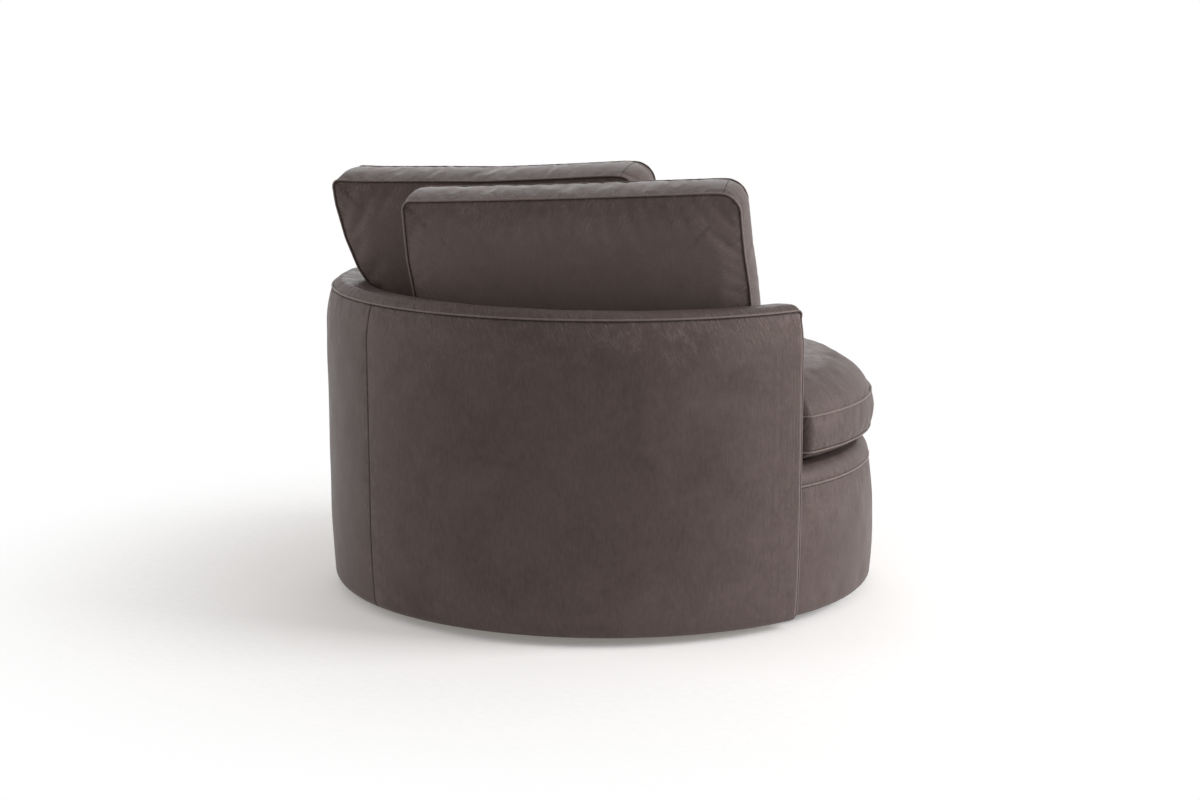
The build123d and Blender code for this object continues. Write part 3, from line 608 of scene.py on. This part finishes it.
# Oval of a covered cord, how far it stands out on each piece, and the stitches beside it
ridge = {"width": 2.2, "height": 1.9, "rimProud": 0.5, "seatProud": 0.7, "cushionProud": 0.8,
         "baseLift": 1.0, "baseExtra": 0.2, "baseTilt": 0.8, "firstStation": 3, "offset": 3.8,
         "stitchTilt": (0.8, 0.6), "stitchRimLift": 1.2, "stitchProud": 0.25}


def buildRimRidge(path):  # cord along the band's outer edge, and stitches an offset below it on the panel
    path = path[ridge["firstStation"]:]
    edge = bandPoints(path, np.array([[1.0]]), 0.0, 0.0)[:, 0]
    lean = np.concatenate([path[:, 3], path[:, 3][::-1][1:]])
    radial = unit(edge * np.array([1, 1, 0]))
    faceOut = np.stack([0 * lean, -np.cos(lean), np.sin(lean)], axis=1)
    edgeOut = unit(radial + faceOut)
    line = edge + ridge["rimProud"] * edgeOut
    cord = addTube("rim_ridge", line, edgeOut, hide, ridge["width"], ridge["height"])
    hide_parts("rim_welt")
    panelWay = unit(np.cross(np.gradient(edge, axis=0), radial))
    panelWay = panelWay * np.sign((panelWay * -faceOut).sum(axis=1, keepdims=True))
    rise = armDip(0.0, edge[:, 2]) - armDip(ridge["offset"], edge[:, 2])
    rise = rise + ridge["stitchRimLift"] * np.clip(np.sin(lean), 0, 1)
    stitchOut = ridge["stitchTilt"][0] * radial - ridge["stitchTilt"][1] * panelWay
    line = edge + ridge["offset"] * panelWay + rise[:, None] * radial + ridge["stitchProud"] * stitchOut
    addStitches("rim_stitches", line, stitchOut)


bandStations = bandPath()
buildBand(bandStations)
buildRimRidge(bandStations)
print("band done")

lining = {"rows": 40, "cols": 200, "runRadius": 484.0, "underBand": 4.0, "flare": 0.6, "flareWidth": 5.0,
          "armSetBack": 16.0, "slack": 0.8, "slackAlong": (31, 120, 320), "slackUp": (33, 150, 320)}


def buildLining():  # inside of the shell: a drum wall from the deck to under the band
    top = shell["rimHeight"] - band["innerDrop"] + lining["underBand"]
    z = np.linspace(low("inner_leather", 2), top, lining["rows"])[:, None]
    r = shell["rimInner"] + lining["flare"] * closeTo(top - z, lining["flareWidth"])
    end = math.asin((shell["armFront"] + lining["armSetBack"]) / shell["rimInner"])
    turn = np.linspace(end, math.pi - end, lining["cols"])[None]
    run = turn * lining["runRadius"]
    slack = lining["slack"] * ripple(run, *lining["slackAlong"]) * ripple(z, *lining["slackUp"])
    points = swept(r + slack, z, turn)[0]
    seam = seamMark(run, top - z)
    wall = addSheet("inner_lining", points, seam, toAxis)
    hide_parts("inner_leather", "shell_inner_padding")


buildLining()
print("lining done")

apron = {"hemRadius": 538.0, "radius": -low("apron_leather", 1) - 5.0, "belly": 150.0, "welt": 541.0,
         "weltHeight": high("apron_leather", 2), "rows": 90, "cols": 300, "ridgeCols": 420, "armClear": 0.8,
         "pucker": 0.8, "puckerWave": (41, 9, 34, 14), "reach": 55.0, "rise": 6.0, "tuck": 1.0,
         "tuckWidth": 3.5, "slack": 0.5, "slackAlong": (43, 60, 240), "slackUp": (44, 90, 240)}


def apronProfile(count):  # base front from the hem fold to its welt, as radius and height
    hem = hemTurn(apron["hemRadius"] - shell["hemFold"])
    welt = (apron["welt"], apron["weltHeight"])
    return resampled(joined(hem, arcThrough(hem[-1], (apron["radius"], apron["belly"]), welt, 60)), count)


def frontTurn(r, cols):  # angles round the open front, from arm to arm, just ahead of the arm fronts
    end = np.arcsin((shell["armFront"] - apron["armClear"]) / r)
    share = np.linspace(0, 1, cols)[None]
    return end - (math.pi + 2 * end) * share


def buildApron():  # base front: the profile swept round the open front, puckered below its welt
    profile = apronProfile(apron["rows"])
    r, z = profile[:, :1], profile[:, 1:]
    fromTop = lengths(profile[::-1])[::-1, None]
    turn = frontTurn(r, apron["cols"])
    run = apron["radius"] * turn
    points, out = swept(r, z, turn)
    shift = gathers(run, fromTop, apron) - tucked(fromTop, apron)
    shift = shift + apron["slack"] * ripple(run, *apron["slackAlong"]) * ripple(z, *apron["slackUp"])
    panel = addSheet("base_front", points + shift[:, :, None] * out, seamMark(run, fromTop), fromAxis)
    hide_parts("apron_leather", "apron_padding")


def buildBaseRidge():  # cord along the base front's welt
    turn = frontTurn(np.array([[apron["welt"]]]), apron["ridgeCols"])[0]
    line = polar(apron["welt"], turn, apron["weltHeight"] + ridge["baseLift"])
    out = polar(1.0, turn, ridge["baseTilt"])
    extra = ridge["baseExtra"]
    cord = addTube("base_ridge", line, out, hide, ridge["width"] + extra, ridge["height"] + extra)
    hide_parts("base_welt")


# Set-in from the welt and drop from the lip at the start, bend and flat of the slope
border = {"rows": 40, "cols": 300, "startSetIn": 0.5, "startRise": 1.0, "bendSetIn": 6.0, "bendDrop": 14.0,
          "flatSetIn": 22.0, "flatDrop": 1.5, "lipDrop": 0.5, "tuckUnder": 2.0, "pucker": 0.5,
          "puckerWave": (51, 9, 30, 14), "reach": 18.0, "tuck": 0.8, "tuckWidth": 3.0}


def buildBorder():  # deck border: a soft slope from the base welt up to under the seat cushion
    lip = high("deck_border", 2)
    start = (apron["welt"] - border["startSetIn"], apron["weltHeight"] + border["startRise"])
    bend = (apron["welt"] - border["bendSetIn"], lip - border["bendDrop"])
    flat = (apron["welt"] - border["flatSetIn"], lip - border["flatDrop"])
    end = (shell["rimInner"] + border["tuckUnder"], lip - border["lipDrop"])
    profile = resampled(joined(arcThrough(start, bend, flat, 24), np.linspace(flat, end, 8)), border["rows"])
    r, z = profile[:, :1], profile[:, 1:]
    away = lengths(profile)[:, None]
    turn = frontTurn(r, border["cols"])
    run = apron["welt"] * turn
    points, out = swept(r, z, turn)
    shift = gathers(run, away, border) - tucked(away, border)
    seam = seamMark(run, away + seamClear)
    slope = addSheet("deck_border_cover", points + shift[:, :, None] * out, seam, fromAxis)
    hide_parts("deck_border")


buildApron()
buildBaseRidge()
buildBorder()
print("base front done")


def diskGrid(count):  # square grid pressed into a unit disc: x times root (1 - y^2 / 2), and the same for y
    line = np.linspace(-1, 1, count)
    x, y = np.meshgrid(line, line, indexing="xy")
    return x * np.sqrt(1 - y * y / 2), y * np.sqrt(1 - x * x / 2)


def gridRim(rows, cols):  # indices round the outside of a grid, in order
    k = np.arange(cols - 1)
    j = np.arange(rows - 1)
    far = (rows - 1) * cols + cols - 1 - k
    return np.concatenate([k, j * cols + cols - 1, far, (rows - 1 - j) * cols])


def boxingLoops(rim, size, count):  # loops from one grid's rim, down the boxing, to the other's
    around = len(rim)
    return [rim] + [2 * size + k * around + np.arange(around) for k in range(count)] + [size + rim]


# Faces of two panels, the first turned one way and the second the other, and quads between the boxing's loops
def boxedFaces(points, cell, loops, way):
    walls = [np.stack([a, b, np.roll(b, -1), np.roll(a, -1)], axis=1) for a, b in zip(loops[:-1], loops[1:])]
    middle = points.mean(axis=0)
    return np.concatenate([
        facing(cell, points, lambda p: way),
        facing(cell + cell.max() + 1, points, lambda p: -way),
        facing(np.concatenate(walls), points, lambda p: p - middle)])


def inflate(piece, seams, setting):  # cloth under pressure with its seams held, each point's move under a cap
    start = surfaceOf(piece.data)[0]
    held = piece.vertex_groups.new(name="held")
    held.add(np.unique(seams).tolist(), 1.0, "REPLACE")
    cloth = piece.modifiers.new("cloth", "CLOTH")
    now = cloth.settings
    now.quality = 6
    now.mass = 0.25
    now.tension_stiffness = setting["stretch"]
    now.compression_stiffness = setting["stretch"]
    now.shear_stiffness = setting["stretch"] / 2
    now.bending_stiffness = setting["bending"]
    now.use_pressure = True
    now.uniform_pressure_force = setting["pressure"]
    now.shrink_min = setting["shrink"]
    now.vertex_group_mass = "held"
    now.effector_weights.gravity = 0.0
    cloth.collision_settings.use_collision = False
    cloth.point_cache.frame_start = 1
    cloth.point_cache.frame_end = setting["frames"]
    for step in range(1, setting["frames"] + 1):
        scene.frame_set(step)
    shape = piece.evaluated_get(bpy.context.evaluated_depsgraph_get()).to_mesh()
    moved = surfaceOf(shape)[0]
    piece.modifiers.remove(cloth)
    piece.vertex_groups.remove(held)
    scene.frame_set(1)
    move = moved - start
    size = np.linalg.norm(move, axis=1, keepdims=True)
    move = move * np.minimum(1.0, setting["cap"] * mm / np.maximum(size, 1e-9))
    piece.data.vertices.foreach_set("co", (start + move).reshape(-1))
    piece.data.update()
    print(piece.name, "swelled by up to", round(float(np.linalg.norm(move, axis=1).max()) / mm, 1), "mm")


def refine(piece):  # one level of subdivision
    smooth = piece.modifiers.new("refine", "SUBSURF")
    smooth.levels = 1
    smooth.render_levels = 1


def surfaceOf(mesh):  # positions in metres, and normals, of every vertex
    at, out = np.empty((2, len(mesh.vertices) * 3))
    mesh.vertices.foreach_get("co", at)
    mesh.vertices.foreach_get("normal", out)
    return at.reshape(-1, 3), out.reshape(-1, 3)


def nudge(piece, shift):  # every vertex moved along its normal, in millimetres
    at, out = surfaceOf(piece.data)
    piece.data.vertices.foreach_set("co", (at + out * shift[:, None] * mm).reshape(-1))
    piece.data.update()


def seamLine(piece, loop):  # positions and normals of the vertices of a loop, in millimetres
    at, out = surfaceOf(piece.data)
    return at[loop] / mm, out[loop]


def addRidge(name, piece, loop, proud):  # cord along a cushion's seam, standing proud of it
    line, out = seamLine(piece, loop)
    return addTube(name, line + proud * out, out, hide, ridge["width"], ridge["height"], closed=True)


seat = {"count": 93, "boxingRows": 15, "lowRadius": 543.0, "lowHeight": 339.0, "topRadius": 544.0,
        "topHeight": 409.0, "bulge": 6.5, "bottom": low("seat_cushion_cover", 2) + 0.4, "ringWarp": 1.5,
        "crownRise": 74.5, "crownPower": 10, "crownRoot": 0.61, "solePower": 16, "soleRoot": 0.5,
        "behind": 481.0, "openFrom": 95.6, "openOver": 5.0, "runRadius": 540.0,
        "boxingRun": 72.0, "stretch": 12.0, "bending": 2.0, "pressure": 4.0, "shrink": -0.006, "frames": 20,
        "cap": 4.0, "pucker": 0.55, "puckerWave": (61, 10, 36, 14), "reach": 30.0, "rise": 5.0,
        "streakReach": 0.35, "fold": 0.35, "foldWave": (63, 16, 60, 12), "foldSlant": 0.3, "foldAt": 60.0}


def seatOutline(angle):  # share of the full radius: whole round the front, drawn in between the arms
    fromBack = np.abs(((np.degrees(angle) - 90 + 180) % 360) - 180)
    t = np.clip((fromBack - seat["openFrom"]) / seat["openOver"], 0, 1)
    inner = seat["behind"] / seat["lowRadius"]
    return inner + (1 - inner) * t * t * (3 - 2 * t)


def buildSeat():  # top and bottom discs with a boxing band between their rims
    count = seat["count"]
    u, v = diskGrid(count)
    ring = 1 - np.maximum(1 - np.hypot(u, v), 0) ** seat["ringWarp"]
    angle = np.arctan2(v, u)
    outline = seatOutline(angle)
    crown = np.maximum(1 - ring ** seat["crownPower"], 0) ** seat["crownRoot"]
    sole = np.maximum(1 - ring ** seat["solePower"], 0) ** seat["soleRoot"]
    topHeight = seat["topHeight"] + seat["crownRise"] * crown
    lowHeight = seat["lowHeight"] - (seat["lowHeight"] - seat["bottom"]) * sole
    top = polar(ring * outline * seat["topRadius"], angle, topHeight).reshape(-1, 3)
    bottom = polar(ring * outline * seat["lowRadius"], angle, lowHeight).reshape(-1, 3)
    rim = gridRim(count, count)
    rimAngle = angle.reshape(-1)[rim]
    share = np.linspace(0, 1, seat["boxingRows"] + 2)[1:-1, None]
    radius = (seat["topRadius"] + (seat["lowRadius"] - seat["topRadius"]) * share) * outline.reshape(-1)[rim]
    radius = radius + seat["bulge"] * np.sin(math.pi * share)
    height = seat["topHeight"] + (seat["lowHeight"] - seat["topHeight"]) * share
    boxing = polar(radius, rimAngle, height)
    size = count * count
    points = np.concatenate([top, bottom, boxing.reshape(-1, 3)])
    loops = boxingLoops(rim, size, seat["boxingRows"])
    faces = boxedFaces(points, gridFaces(count, count), loops, np.array([[0.0, 0.0, 1.0]]))
    run = (angle * seat["runRadius"]).reshape(-1)
    run = np.concatenate([run, run, np.tile(rimAngle * seat["runRadius"], seat["boxingRows"])])
    fromRim = ((1 - ring) * seat["runRadius"]).reshape(-1)
    boxingAway = np.minimum(share, 1 - share) * seat["boxingRun"] + 0 * rimAngle
    away = np.concatenate([fromRim, fromRim, boxingAway.reshape(-1)])
    onTop = np.concatenate([np.ones(size), np.zeros(len(points) - size)])
    seamAway = away * (1 - (1 - seat["streakReach"]) * onTop) + seamClear * onTop
    cushion = addPiece("seat_cushion", points, faces, hide, seamMark(run, seamAway))
    inflate(cushion, np.concatenate([rim, size + rim]), seat)
    fold = seat["fold"] * ripple(run + seat["foldSlant"] * away, *seat["foldWave"])
    fold = fold * closeTo(away - seat["foldAt"], seat["foldAt"])
    nudge(cushion, gathers(run, away, seat) + onTop * fold)
    refine(cushion)
    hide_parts("seat_cushion_cover", "seat_cushion_core")
    cords = {"seat_ridge_top": (rim, "seat_upper_welt"), "seat_ridge_low": (size + rim, "seat_lower_welt")}
    for name, (loop, node) in cords.items():
        cord = addRidge(name, cushion, loop, ridge["seatProud"])
        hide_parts(node)


buildSeat()
print("seat cushion done")

# Seam outlines on the back plane: heights, and the left and right edges there
cushions = {
    "right": {"node": "right_back_cushion", "bearing": 135.4, "distance": 356.6, "foot": 476.1,
              "height": 357.5, "levels": (0, 100, 170, 240, 292, 357),
              "left": (-300, -309, -316.6, -324.5, -326, -326.6), "right": (334, 337, 335, 328.8, 326.5, 325),
              "thickness": 130.0, "give": 11.0, "puckerWave": (71, 9, 34, 14),
              "crest": (4, 4, 4, 4, 4, 3, 0), "leftCorner": 17.0, "rightCorner": 38.0},
    "left": {"node": "left_back_cushion", "bearing": 129.0, "distance": 186.0, "foot": 483.9,
             "height": 371.5, "levels": (0, 158, 195, 257, 325, 371),
             "left": (-424, -444, -465, -485.5, -499, -502), "right": (131, 133, 134, 135, 134, 127),
             "thickness": 140.0, "give": 0.0, "puckerWave": (81, 9, 34, 14),
             "crest": (9, 6.5, 5.5, 2.5, 4, 6, 2), "leftCorner": 14.0, "rightCorner": 30.0},
}
# What the two cushions share: grid, crown, lean and roll in degrees, cloth, puckers, pale tone with painted
# light and painted shade, joint seam
padding = {"across": 95, "up": 54, "deep": 19, "drawIn": 3.0, "back": 9.0, "front": 11.0, "crownPower": 2.6,
           "crownRoot": 0.6, "crestAt": (0, 0.1, 0.3, 0.5, 0.7, 0.92, 1), "crestPower": 3, "giveTop": 1.7,
           "giveSlope": 2.2, "side": 7.0, "sole": 5.0, "lean": 7.0, "roll": 2.5, "edgeApart": 700,
           "stretch": 12.0, "bending": 1.5, "pressure": 4.0, "shrink": -0.008, "frames": 20, "cap": 8.0,
           "pucker": 0.8, "reach": 26.0, "rise": 5.0, "cornerPower": 8, "cornerPucker": 1.5,
           "pale": 0.6, "lowPaintedLight": 0.6, "seamPaintedShade": 0.75, "paintedShadeReach": 55.0,
           "jointStep": 4, "jointWidth": 0.8, "jointHeight": 0.5, "jointProud": 0.1}


def roundedCorner(s, h, left, right, height, look):  # corner squares pressed to quarter discs
    radius = np.where(s < (left + right) / 2, look["leftCorner"], look["rightCorner"])
    cs = np.clip(s, left + radius, right - radius)
    ch = np.clip(h, radius, height - radius)
    ds = (s - cs) / radius
    dh = (h - ch) / radius
    return cs + radius * ds * np.sqrt(1 - dh * dh / 2), ch + radius * dh * np.sqrt(1 - ds * ds / 2)


def stoodInPlace(points, look):  # turned by the roll, leant back, and set out from the axis at a bearing
    roll = math.radians(look["roll"])
    lean = math.radians(look["lean"])
    bearing = math.radians(look["bearing"])
    cosine, sine = math.cos(roll), math.sin(roll)
    points = points @ np.array([[cosine, 0, -sine], [0, 1, 0], [sine, 0, cosine]]).T
    outwards = np.array([math.cos(bearing), math.sin(bearing), 0])
    along = np.array([-math.sin(bearing), math.cos(bearing), 0])
    upward = outwards * math.sin(lean) + np.array([0, 0, math.cos(lean)])
    inward = np.cross(upward, along)
    footDistance = look["distance"] - (shell["rimHeight"] - look["foot"]) * math.tan(lean)
    foot = outwards * footDistance + np.array([0, 0, look["foot"]])
    return foot + points[:, :1] * along + points[:, 1:2] * inward + points[:, 2:] * upward


def buildCushion(name, look):  # box cushion: two panels, crowned by powers of both shares, and a boxing band
    across, up, deep = look["across"], look["up"], look["deep"]
    height = look["height"]
    a, b = np.meshgrid(np.linspace(0, 1, across), np.linspace(0, 1, up), indexing="xy")
    meanLeft = float(np.mean(look["left"]))
    meanRight = float(np.mean(look["right"]))
    width = meanRight - meanLeft
    s, h = roundedCorner(meanLeft + width * a, height * b, meanLeft, meanRight, height, look)
    share = (s - meanLeft) / width
    leftEdge = np.interp(h, look["levels"], look["left"])
    rightEdge = np.interp(h, look["levels"], look["right"])
    s = leftEdge + (rightEdge - leftEdge) * share
    h = h - look["drawIn"] * b * (1 - (2 * a - 1) ** 2) + look["sole"] * (1 - b)
    h = h + np.interp(share, look["crestAt"], look["crest"]) * b ** look["crestPower"]
    give = np.clip(2 * share - 1, 0, 1) ** 2 * np.clip(look["giveTop"] - look["giveSlope"] * b, 0, 1)
    give = look["give"] * give
    crownAcross = np.maximum(1 - np.abs(2 * a - 1) ** look["crownPower"], 0)
    crownUp = np.maximum(1 - np.abs(2 * b - 1) ** look["crownPower"], 0)
    crown = (crownAcross * crownUp) ** look["crownRoot"]
    back = np.stack([s, give - look["back"] * crown, h], axis=2).reshape(-1, 3)
    front = np.stack([s, give + look["thickness"] + look["front"] * crown, h], axis=2).reshape(-1, 3)
    size = across * up
    rim = gridRim(up, across)
    around = len(rim)
    depth = np.linspace(0, 1, deep + 2)[1:-1, None, None]
    edgeBack = back[rim]
    edgeFront = front[rim]
    outward = unit(np.cross(np.roll(edgeBack, -1, axis=0) - np.roll(edgeBack, 1, axis=0), [0.0, 1.0, 0.0]))
    outward = outward * np.sign(((edgeBack - back.mean(axis=0)) * outward).sum())
    boxing = edgeBack + (edgeFront - edgeBack) * depth + look["side"] * np.sin(math.pi * depth) * outward
    points = np.concatenate([back, front, boxing.reshape(-1, 3)])
    loops = boxingLoops(rim, size, deep)
    faces = boxedFaces(points, gridFaces(up, across), loops, np.array([[0.0, -1.0, 0.0]]))
    # Run along the nearest seam, distance from it, and the panels' pale mix: a lift towards the pale tone,
    # painted light rising towards the bottom where shade falls, and painted shade just under the top seam
    toEdge = np.stack([a * width, (1 - a) * width, b * height, (1 - b) * height])
    nearest = toEdge.argmin(axis=0)
    panelRun = (np.where(nearest < 2, h, s) + look["edgeApart"] * nearest).reshape(-1)
    panelAway = toEdge.min(axis=0).reshape(-1)
    boxRun = np.tile(lengths(edgeBack), deep)
    boxAway = np.repeat(np.minimum(depth, 1 - depth).reshape(-1) * look["thickness"], around)
    run = np.concatenate([panelRun, panelRun, boxRun])
    away = np.concatenate([panelAway, panelAway, boxAway])
    # Painted light: panels paler towards the bottom; painted shade: darker just under the top seam
    wearAndPaintedLight = look["pale"] * (1 + look["lowPaintedLight"] * (1 - b))
    wearAndPaintedLight = (wearAndPaintedLight * (1 - look["seamPaintedShade"] * closeTo(toEdge[3], look["paintedShadeReach"]))).reshape(-1)
    pale = np.concatenate([wearAndPaintedLight, wearAndPaintedLight, 0 * boxRun])
    seamAway = np.concatenate([panelAway, panelAway, boxAway + seamClear])
    seam = seamMark(run, seamAway, pale)
    cushion = addPiece(name + "_cushion", stoodInPlace(points, look), faces, hide, seam)
    inflate(cushion, np.concatenate([rim, size + rim]), look)
    corner = (np.abs((2 * a - 1) * (2 * b - 1)) ** look["cornerPower"]).reshape(-1)
    corner = np.concatenate([corner, corner, 0 * boxRun])
    nudge(cushion, gathers(run, away, look) * (1 + look["cornerPucker"] * corner))
    refine(cushion)
    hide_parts(look["node"])
    for label, loop in (("back", rim), ("front", size + rim)):
        addRidge(name + "_ridge_" + label, cushion, loop, ridge["cushionProud"])
    # Joint seam of the boxing: a thin tube in the dark thread colour, for its stitching and as painted shade
    # of its groove
    joint = across + up - 2 + look["jointStep"]
    line, out = seamLine(cushion, np.array([loop[joint] for loop in loops[1:-1]]))
    line = line + look["jointProud"] * out
    addTube(name + "_joint", line, out, thread, look["jointWidth"], look["jointHeight"])


for side, own in cushions.items():
    buildCushion(side + "_back", {**padding, **own})
    print(side, "back cushion done")

# Camera fitted to the ellipses in the photograph
view = {"eye": (-4.1867, 3.0418, 1.2904), "forward": (0.7967, -0.5788, -0.1740)}
optics = {"lens": 75.84, "sensor_width": 36.0, "shift_x": -0.0061, "clip_end": 100.0}
cameraData = bpy.data.cameras.new("camera")
for key, value in optics.items():
    setattr(cameraData, key, value)
scene.camera = addObject("camera", cameraData, view["eye"], Vector(view["forward"]))

lampAim = Vector((0.0, 0.0, 0.4))
lampSize = 2.6
lamps = {
    "right": {"place": (-3.05, -2.75, 1.7), "power": 198.0},
    "left": {"place": (2.3, 3.2, 1.7), "power": 40.0},
    "front": {"place": (-4.6, 3.9, 1.0), "power": 9.0},
    "far": {"place": (3.2, -2.2, 2.4), "power": 32.0},
}
for label, lamp in lamps.items():
    lampData = bpy.data.lights.new(label + "_lamp", "AREA")
    lampData.energy = lamp["power"]
    lampData.size = lampSize
    addObject(label + "_lamp", lampData, lamp["place"], lampAim - Vector(lamp["place"]))

# Soft light from all round, a little stronger from below; the eye and reflections see plain white
studio = {"above": 0.43, "below": 0.54, "blend": 0.15, "tint": "#fffaf7"}
world = bpy.data.worlds.new("studio")
scene.world = world
world.use_nodes = True
worldTree = world.node_tree
worldTree.nodes.clear()
way = addNode(worldTree, "TexCoord").outputs["Generated"]
wayUp = addNode(worldTree, "SeparateXYZ", {"Vector": way}).outputs["Z"]
level = addNode(worldTree, "MapRange", {
    "Value": wayUp, "From Min": -studio["blend"], "From Max": studio["blend"],
    "To Min": studio["below"], "To Max": studio["above"]})
ambient = addNode(worldTree, "Background", {"Color": toLinear(studio["tint"]), "Strength": level})
backdrop = addNode(worldTree, "Background", {"Color": (1, 1, 1, 1), "Strength": 1.0})
rays = addNode(worldTree, "LightPath").outputs
seen = addNode(worldTree, "Math", {0: rays["Is Camera Ray"], 1: rays["Is Glossy Ray"]}, operation="MAXIMUM")
seen = addNode(worldTree, "Math", {0: seen, 1: rays["Is Transmission Ray"]}, operation="MAXIMUM")
either = addNode(worldTree, "MixShader", {0: seen, 1: ambient, 2: backdrop})
addNode(worldTree, "OutputWorld", {"Surface": either})

# Matt pale floor in metres, with a faint glow that keeps its shadow soft; specks are noise cells to the metre
ground = {"shade": "#f2f1f0", "near": 0.62, "far": 1.5, "half": 1.8, "glow": 0.19, "speck": 60.0}


def floorMaterial(name, look):  # pale floor that fades by smoothstep from a near radius to clear at a far one
    made, tree, coords = newMaterial(name)
    away = addNode(tree, "VectorMath", {0: coords}, operation="LENGTH").outputs["Value"]
    fade = addNode(tree, "MapRange", {
        "Value": away, "From Min": look["near"], "From Max": look["far"]}, interpolation_type="SMOOTHSTEP")
    speck = addNode(tree, "TexNoise", {"Vector": coords, "Scale": look["speck"], "Detail": 3.0})
    colour = addNode(tree, "Mix", {0: speck, 6: toLinear(look["shade"]), 7: (1, 1, 1, 1)}, data_type="RGBA")
    matt = addNode(tree, "BsdfDiffuse", {"Color": colour.outputs[2]})
    clear = addNode(tree, "BsdfTransparent")
    glow = addNode(tree, "Emission", {"Color": toLinear(look["shade"]), "Strength": look["glow"]})
    lit = addNode(tree, "AddShader", {0: matt, 1: glow})
    mixed = addNode(tree, "MixShader", {0: fade, 1: lit, 2: clear})
    addNode(tree, "OutputMaterial", {"Surface": mixed})
    return made


half = ground["half"]
floorMesh = bpy.data.meshes.new("floor")
floorCorners = [(-half, -half, 0), (half, -half, 0), (half, half, 0), (-half, half, 0)]
floorMesh.from_pydata(floorCorners, [], [(0, 1, 2, 3)])
floorMesh.materials.append(floorMaterial("pale floor", ground))
addObject("floor", floorMesh)
scene.view_settings.view_transform = "Standard"
print("stage done")
